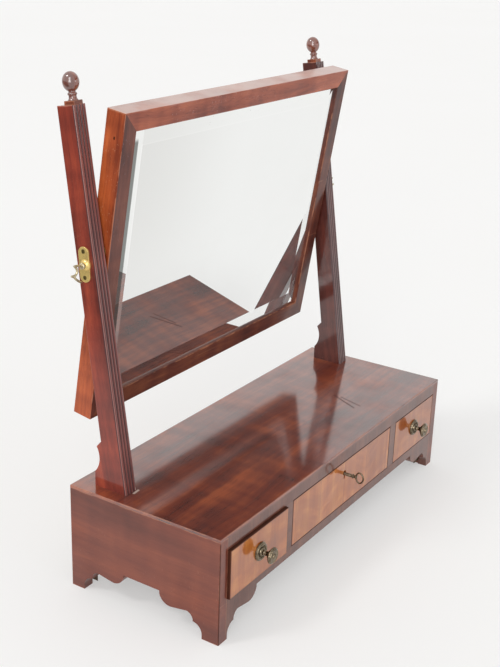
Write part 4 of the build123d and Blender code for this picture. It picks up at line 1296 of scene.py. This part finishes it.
@dataclass
class Uprights(Assembly):
    """The two raked, reeded uprights with their finials, pivot plates and screws."""

    seat: Point3 = (238.55, 105.93, 539.70)
    plinth_h: float = 4.0
    neck_r: float = 4.1
    foot_r: float = 5.2
    neck_h: float = 4.8
    ring_r: float = 4.95
    ring_h: float = 3.0
    throat_h: float = 1.4
    ball_r: float = 8.65
    ball_half_h: float = 10.25
    dowel_r: float = 2.5
    dowel_l: float = 8.7

    def build(self) -> None:
        """Dresses the uprights and turns the finials."""
        face = Place.of(self.nodes["upright_left"], UPRIGHT_FOOT, RAKE).low[1]
        filler = Mark((-0.2312, face, 0.0006), (0.0, 0.0, 0.0012), 2.0 * MM, rgb(0.60, 0.48, 0.42), 0.8)
        self.dress({
            "upright_left": (REEDED_WOOD, Grain.ALONG_Z, 21.0, (filler,)),
            "finial_plinth_left": (MAHOGANY, Grain.ALONG_X, 23.0),
            "upright_right": (SHADED_REEDED_WOOD, Grain.ALONG_Z, 22.0),
            "finial_plinth_right": (MAHOGANY, Grain.ALONG_X, 24.0),
        }, UPRIGHT_FOOT, RAKE)
        self.plate(BRIGHT_BRASS, "pivot_plate_left", "pivot_plate_right")
        self.plate(AGED_BRASS, "pivot_plate_screws")
        self.plate(DARK_STEEL, "upright_screws")
        self._finials()

    def profile(self) -> Outline:
        """The finial's outline from its dowel to the top of its ball.

        Returns:
            The points of the outline.
        """
        neck = self.plinth_h + self.neck_h
        ring = neck + self.ring_h
        throat = ring + self.throat_h
        ball = throat + self.ball_half_h * math.sqrt(1 - (self.neck_r / self.ball_r) ** 2)
        line = [(0.0, -self.dowel_l), (self.dowel_r, -self.dowel_l), (self.dowel_r, self.plinth_h)]
        line += [(self.foot_r, self.plinth_h), (self.foot_r, self.plinth_h + 0.5)]
        waist = [(self.foot_r - 0.35, self.plinth_h + 0.9), (self.neck_r + 0.15, self.plinth_h + 2.0)]
        line += smooth_line([*waist, (self.neck_r - 0.1, self.plinth_h + 3.6), (self.neck_r, neck)])
        for step in range(1, 10):
            swell = (self.ring_r - self.neck_r) * math.sin(math.pi * step / 10)
            line.append((self.neck_r + swell, neck + self.ring_h * step / 10))
        line += [(self.neck_r, ring), (self.neck_r - 0.45, ring + 0.3), (self.neck_r - 0.45, throat - 0.3)]
        start = math.asin((throat - ball) / self.ball_half_h)
        return line + dome(self.ball_r, self.ball_half_h, ball, 24, start)

    def _finials(self) -> None:
        """Turns one finial and sets a copy on each upright."""
        first = Bench.turned("finial_turned_right", self.profile())
        Bench.soften(first, 0.12)
        second = Bench.copy_of(first, "finial_turned_left")
        for piece, way, side in ((first, 1, "right"), (second, -1, "left")):
            x, y, z = self.seat
            seat = Vector((way * x, y, z)) * MM
            Bench.set_at(piece, seat, (RAKE, 0.0, 0.0))
            place = Place.of(piece, seat, RAKE)
            give(piece, TURNED_WOOD.on(place, Grain.ALONG_Z, 25.0 + way))
            fit(piece, "stand", f"finial_{side}")


@dataclass
class Thumbscrews(Assembly):
    """The brass thumbscrews, each with a cast handle that scrolls down and back."""

    face_x: float = 249.0
    hub_out: float = 5.3
    hub_r: float = 3.6
    hub_t: float = 3.0
    pin_r: float = 2.5
    pin_end: float = -29.0
    rod_r: float = 1.35
    ball_r: float = 2.3
    arm: Line = ((6.6, 0.0), (10.0, 1.2), (13.5, 2.0), (15.8, 2.4), (18.0, 2.6))
    hollow: Line = ((16.6, 1.2), (14.6, -1.2), (13.7, -4.2), (15.6, -6.6), (19.2, -7.9))
    beak: Line = ((21.4, -7.5), (23.6, -6.6))
    tail: Line = ((17.2, -10.8), (14.0, -13.4), (10.6, -15.8), (6.8, -17.2))

    def build(self) -> None:
        """Casts one thumbscrew and sets a copy in each upright."""
        first = Bench.joined("thumbscrew_cast_right", [self._handle(), self._pin()])
        second = Bench.copy_of(first, "thumbscrew_cast_left")
        for piece, way, side, turn in ((first, 1, "right", 0.0), (second, -1, "left", math.pi)):
            Bench.set_at(piece, Vector((way * self.face_x * MM, PIVOT.y, PIVOT.z)), (0.0, 0.0, turn))
            give(piece, CAST_BRASS.build())
            fit(piece, f"thumb_{side}", f"thumbscrew_{side}")

    def _pin(self) -> bpy.types.Object:
        """The turned hub and pin, with X along the pivot and outwards.

        Returns:
            The piece.
        """
        half = self.hub_out + self.hub_t / 2
        profile = [(0.0, self.pin_end), (self.pin_r - 0.4, self.pin_end), (self.pin_r, self.pin_end + 0.4)]
        profile += [(self.pin_r, self.hub_out), (self.hub_r, self.hub_out)]
        profile += dome(self.hub_r, self.hub_t / 2, half, 8)
        pin = Bench.turned("thumb_pin", profile, 40, (0.0, math.pi / 2, 0.0))
        Bench.soften(pin, 0.15)
        return pin

    def _handle(self) -> bpy.types.Object:
        """Draws the handle's centre lines and gives them their thickness with a skin.

        Returns:
            The piece.
        """
        line = [(x, 0.0, z) for x, z in (*self.arm, *self.hollow, *self.beak)]
        tail = [(x, 0.0, z) for x, z in (self.hollow[-1], *self.tail)]
        handle = Bench.start_point("thumb_handle", line[0])
        Bench.draw(line)
        bpy.ops.mesh.select_all(action="DESELECT")
        bpy.ops.object.mode_set(mode="OBJECT")
        for vertex in handle.data.vertices:
            vertex.select = (vertex.co - Vector(tail[0])).length < NEAR
        bpy.ops.object.mode_set(mode="EDIT")
        Bench.draw(tail)
        Bench.only(handle)
        handle.modifiers.new("skin", "SKIN")
        ball = line[len(self.arm) - 1]
        for vertex, skin in zip(handle.data.vertices, handle.data.skin_vertices[0].data):
            radius = self.rod_r
            if (vertex.co - Vector(ball)).length < NEAR:
                radius = self.ball_r
            elif min((vertex.co - Vector(tip)).length for tip in (line[-1], tail[-1])) < NEAR:
                radius = self.rod_r * 0.85
            skin.radius = (radius, radius)
            skin.use_root = (vertex.co - Vector(line[0])).length < NEAR
        rounding = handle.modifiers.new("rounding", "SUBSURF")
        rounding.levels = rounding.render_levels = 3
        for name in ("skin", "rounding"):
            bpy.ops.object.modifier_apply(modifier=name)
        bpy.ops.object.shade_smooth()
        return handle


@dataclass
class SwingMirror(Assembly):
    """The mitred frame with its looking glass, slips, backboard and nut plates."""

    glass_half_w: float = 213.2
    glass_low: float = -173.6
    glass_high: float = 145.5
    glass_front: float = -7.55
    glass_rear: float = -3.05
    bevel_in: float = 23.8
    bevel_t: float = 3.0
    nail_hole: Mark = Mark((-0.228, -0.001, 0.1315), (0.0, 0.0, 0.0014), 1.4 * MM, rgb(0.02, 0.008, 0.005), 0.95)

    def build(self) -> None:
        """Dresses the frame and makes the bevelled plate."""
        self.dress({
            "frame_top_rail": (TOP_RAIL_WOOD, Grain.ALONG_X, 31.0),
            "frame_bottom_rail": (SHADED_FRAME_WOOD, Grain.ALONG_X, 32.0),
            "frame_left_stile": (FRAME_WOOD, Grain.ALONG_Z, 33.0, (self.nail_hole,)),
            "frame_right_stile": (SHADED_FRAME_WOOD, Grain.ALONG_Z, 34.0),
            "glass_slips": (PINE, Grain.ALONG_X, 35.0),
            "mirror_backboard": (PINE, Grain.ALONG_Z, 36.0),
        }, PIVOT, TILT)
        self.plate(BRIGHT_BRASS, "nut_plate_left", "nut_plate_right", "nut_plate_screws")
        self.plate(DARK_STEEL, "backboard_nails")
        self._glass()

    def _glass(self) -> None:
        """A plate of glass whose front face is raised inside a wide bevel."""
        thick = self.glass_rear - self.glass_front - self.bevel_t
        middle = (0.0, self.glass_rear - thick / 2, (self.glass_high + self.glass_low) / 2)
        size = (2 * self.glass_half_w, thick, self.glass_high - self.glass_low)
        glass = Bench.block("looking_glass_plate", middle, size)
        for face in glass.data.polygons:
            face.select = face.normal.y < -0.9
        bpy.ops.object.mode_set(mode="EDIT")
        bpy.ops.mesh.select_mode(type="FACE")
        bpy.ops.mesh.inset(thickness=self.bevel_in, depth=0.0)
        bpy.ops.transform.translate(value=(0.0, -self.bevel_t, 0.0))
        Bench.set_at(glass, PIVOT, (TILT, 0.0, 0.0))
        give(glass, Silvering().build(Place.of(glass, PIVOT, TILT), self.bevel_in * MM))
        fit(glass, "mirror", "mirror_glass")


@dataclass
class Drawers(Assembly):
    """The three drawers with their figured fronts, and the two turned knobs on round back plates.

    Fronts gives where each drawer's face and its veneer's first seam lie, along Y and X in millimetres. The
    outer fronts have a single leaf, wider than they are.
    """

    knob_z: float = 81.15
    knob_x: float = 193.5
    post_end: float = -17.7
    leaf: float = 57.1
    single_leaf: float = 300.0
    fronts: dict[str, tuple[float, float]] = field(default_factory=lambda: {
        "left": (-104.5, -251.0), "centre": (-101.0, -114.2), "right": (-101.0, 136.0),
    })

    def build(self) -> None:
        """Dresses the drawers and turns the knobs."""
        for number, (name, (face, seam)) in enumerate(self.fronts.items()):
            leaf = (self.leaf if name == "centre" else self.single_leaf) * MM
            front = self.nodes[f"drawer_{name}_front"]
            veneer = FlameVeneer(f"flame_{name}", leaf, seam * MM, face * MM)
            give(front, veneer.on(Place.of(front), 41.0 + number))
            self.dress({
                f"drawer_{name}_{part}": (OAK, grain, 44.0 + 5 * number + len(part)) for part, grain in (
                    ("side_left", Grain.ALONG_Y), ("side_right", Grain.ALONG_Y),
                    ("back", Grain.ALONG_X), ("bottom", Grain.ALONG_X),
                )
            })
        self._knobs()

    @staticmethod
    def rose_profile() -> Outline:
        """The back plate's outline: thin rim, bead, dished ring and a low dome round the post.

        Returns:
            The points of the outline, which closes round a bore.
        """
        line = [(2.2, 0.0), (10.5, 0.0), (10.8, 0.35), (10.8, 1.15), (10.5, 1.4), (9.95, 1.4)]
        for step in range(11):
            turn = math.pi * step / 10
            line.append((8.45 + 1.45 * math.cos(turn), 1.4 + 1.9 * math.sin(turn)))
        line += [(6.4, 1.15), (5.5, 1.4)]
        line += smooth_line([(5.4, 1.5), (4.9, 3.0), (3.9, 4.2), (3.4, 4.55)])
        return [*line, (2.2, 4.6), (2.2, 0.0)]

    def knob_profile(self) -> Outline:
        """The knob's outline: post, collar, waist and a thick disc with a dished face and a boss.

        Returns:
            The points of the outline.
        """
        line = [(0.0, self.post_end), (1.8, self.post_end), (2.0, self.post_end + 0.2), (2.0, 4.62)]
        line += [(3.1, 4.65), (3.4, 4.95), (3.4, 5.9), (3.15, 6.2)]
        line += smooth_line([(2.8, 6.6), (2.6, 8.6), (3.3, 10.4), (5.0, 11.6), (8.2, 14.2)])
        line += [(8.9, 14.6), (9.3, 15.1), (9.5, 15.8), (9.3, 16.5), (8.9, 17.0), (8.3, 17.35)]
        line += [(7.9, 17.5), (7.7, 18.0), (7.35, 18.2), (6.9, 18.1)]
        line += smooth_line([(6.6, 17.9), (5.2, 17.5), (3.8, 17.65), (2.9, 18.1)])
        return line + dome(2.8, 1.35, 18.25, 8)

    def _knobs(self) -> None:
        """Turns one knob and one back plate, and sets a copy of each on both outer drawers."""
        knob = Bench.turned("knob_turned_right", self.knob_profile())
        rose = Bench.turned("knob_back_plate_right", self.rose_profile(), 64)
        for piece, name, node in ((knob, "knob_turned", "knob"), (rose, "knob_back_plate", "knob_rose")):
            Bench.soften(piece, 0.1)
            twin = Bench.copy_of(piece, f"{name}_left")
            for made, way, side in ((piece, 1, "right"), (twin, -1, "left")):
                spot = Vector((way * self.knob_x, self.fronts[side][0], self.knob_z)) * MM
                Bench.set_at(made, spot, (math.pi / 2, 0.0, 0.0))
                give(made, DARK_BRASS.build())
                fit(made, f"drawer_{side}", f"{node}_{side}")
        self.plate(DARK_BRASS, "knob_nut_left", "knob_nut_right")


@dataclass
class LockAndKey(Assembly):
    """The centre drawer's lock, and the small old key in it."""

    face_y: float = -101.0
    key_z: float = 92.3
    bow_out: float = 20.5
    bow_half_h: float = 6.7
    bow_half_w: float = 4.6
    bow_point: float = 0.10
    wire_r: float = 1.05
    bit_l: float = 2.4
    bit_r: float = 6.5
    bit_w: float = 2.0

    def build(self) -> None:
        """Dresses the lock and makes the key."""
        self.plate(BRIGHT_BRASS, "lock_case", "lock_bolt", "lock_screws")
        stem_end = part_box("key")[1].y / MM - self.face_y
        key = Bench.joined("key_forged", [self._stem(stem_end), self._bow(), self._bit(stem_end)])
        Bench.soften(key, 0.12, 50.0)
        Bench.set_at(key, Vector((0.0, self.face_y, self.key_z)) * MM)
        give(key, DARK_STEEL.build())
        fit(key, "key", "key")

    def _stem(self, stem_end: float) -> bpy.types.Object:
        """The stem with its collar and the bulb that carries the bow, along Y.

        Args:
            stem_end: how far behind the drawer's face the stem ends.

        Returns:
            The piece.
        """
        bow = self.bow_out - self.bow_half_w
        collar = [(1.75, 9.9), (1.7, 10.4), (2.0, 10.8), (2.75, 11.3), (2.9, 11.8), (2.6, 12.3), (1.7, 12.8)]
        bulb = [(1.55, 13.2), (1.9, 14.0), (2.1, 14.9), (1.7, bow + 0.3), (0.8, bow + 1.0)]
        line = [(0.0, -stem_end), (1.7, -stem_end), (2.0, 0.3 - stem_end), (2.0, 9.6)]
        line += [*smooth_line(collar, 3), *smooth_line(bulb, 3), (0.0, bow + 1.1)]
        return Bench.turned("key_stem", line, 36, (math.pi / 2, 0.0, 0.0))

    def _bow(self) -> bpy.types.Object:
        """The oval bow, a little pointed at its far end.

        Returns:
            The piece.
        """
        Bench.clear()
        thin = 0.2
        bpy.ops.mesh.primitive_torus_add(
            major_radius=1.0, minor_radius=thin, major_segments=64, minor_segments=16, rotation=(0.0, math.pi / 2, 0.0)
        )
        bow = bpy.context.object
        bpy.ops.object.transform_apply(location=True, rotation=True, scale=True)
        for vertex in bow.data.vertices:
            ring = math.atan2(vertex.co.z, vertex.co.y)
            centre = Vector((0.0, math.cos(ring), math.sin(ring)))
            out = (vertex.co - centre) / thin * self.wire_r
            y = centre.y * self.bow_half_w * (1.0 + self.bow_point * max(0.0, -centre.y) ** 6)
            vertex.co = Vector((0.0, y - self.bow_out, centre.z * self.bow_half_h)) + out
        bpy.ops.object.shade_smooth()
        return bow

    def _bit(self, stem_end: float) -> bpy.types.Object:
        """The flat bit at the stem's end.

        Args:
            stem_end: how far behind the drawer's face the stem ends.

        Returns:
            The piece.
        """
        middle = (0.0, stem_end - self.bit_l / 2, -self.bit_r / 2)
        bit = Bench.block("key_bit", middle, (self.bit_w, self.bit_l, self.bit_r))
        bpy.ops.object.mode_set(mode="EDIT")
        bpy.ops.mesh.select_mode(type="FACE")
        bpy.ops.mesh.select_all(action="SELECT")
        bpy.ops.mesh.subdivide(number_cuts=4)
        bpy.ops.object.mode_set(mode="OBJECT")
        return bit


def main() -> None:
    """Loads the frame, sets up the studio, and builds each sub-assembly in order."""
    logging.basicConfig(level=logging.INFO, format="%(message)s")
    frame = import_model()
    Studio().build()
    for assembly in (BaseBox, Uprights, Thumbscrews, SwingMirror, Drawers, LockAndKey):
        assembly(frame["nodes"]).build()
        log.info("built %s", assembly.__name__)


if __name__ == "__main__":
    main()
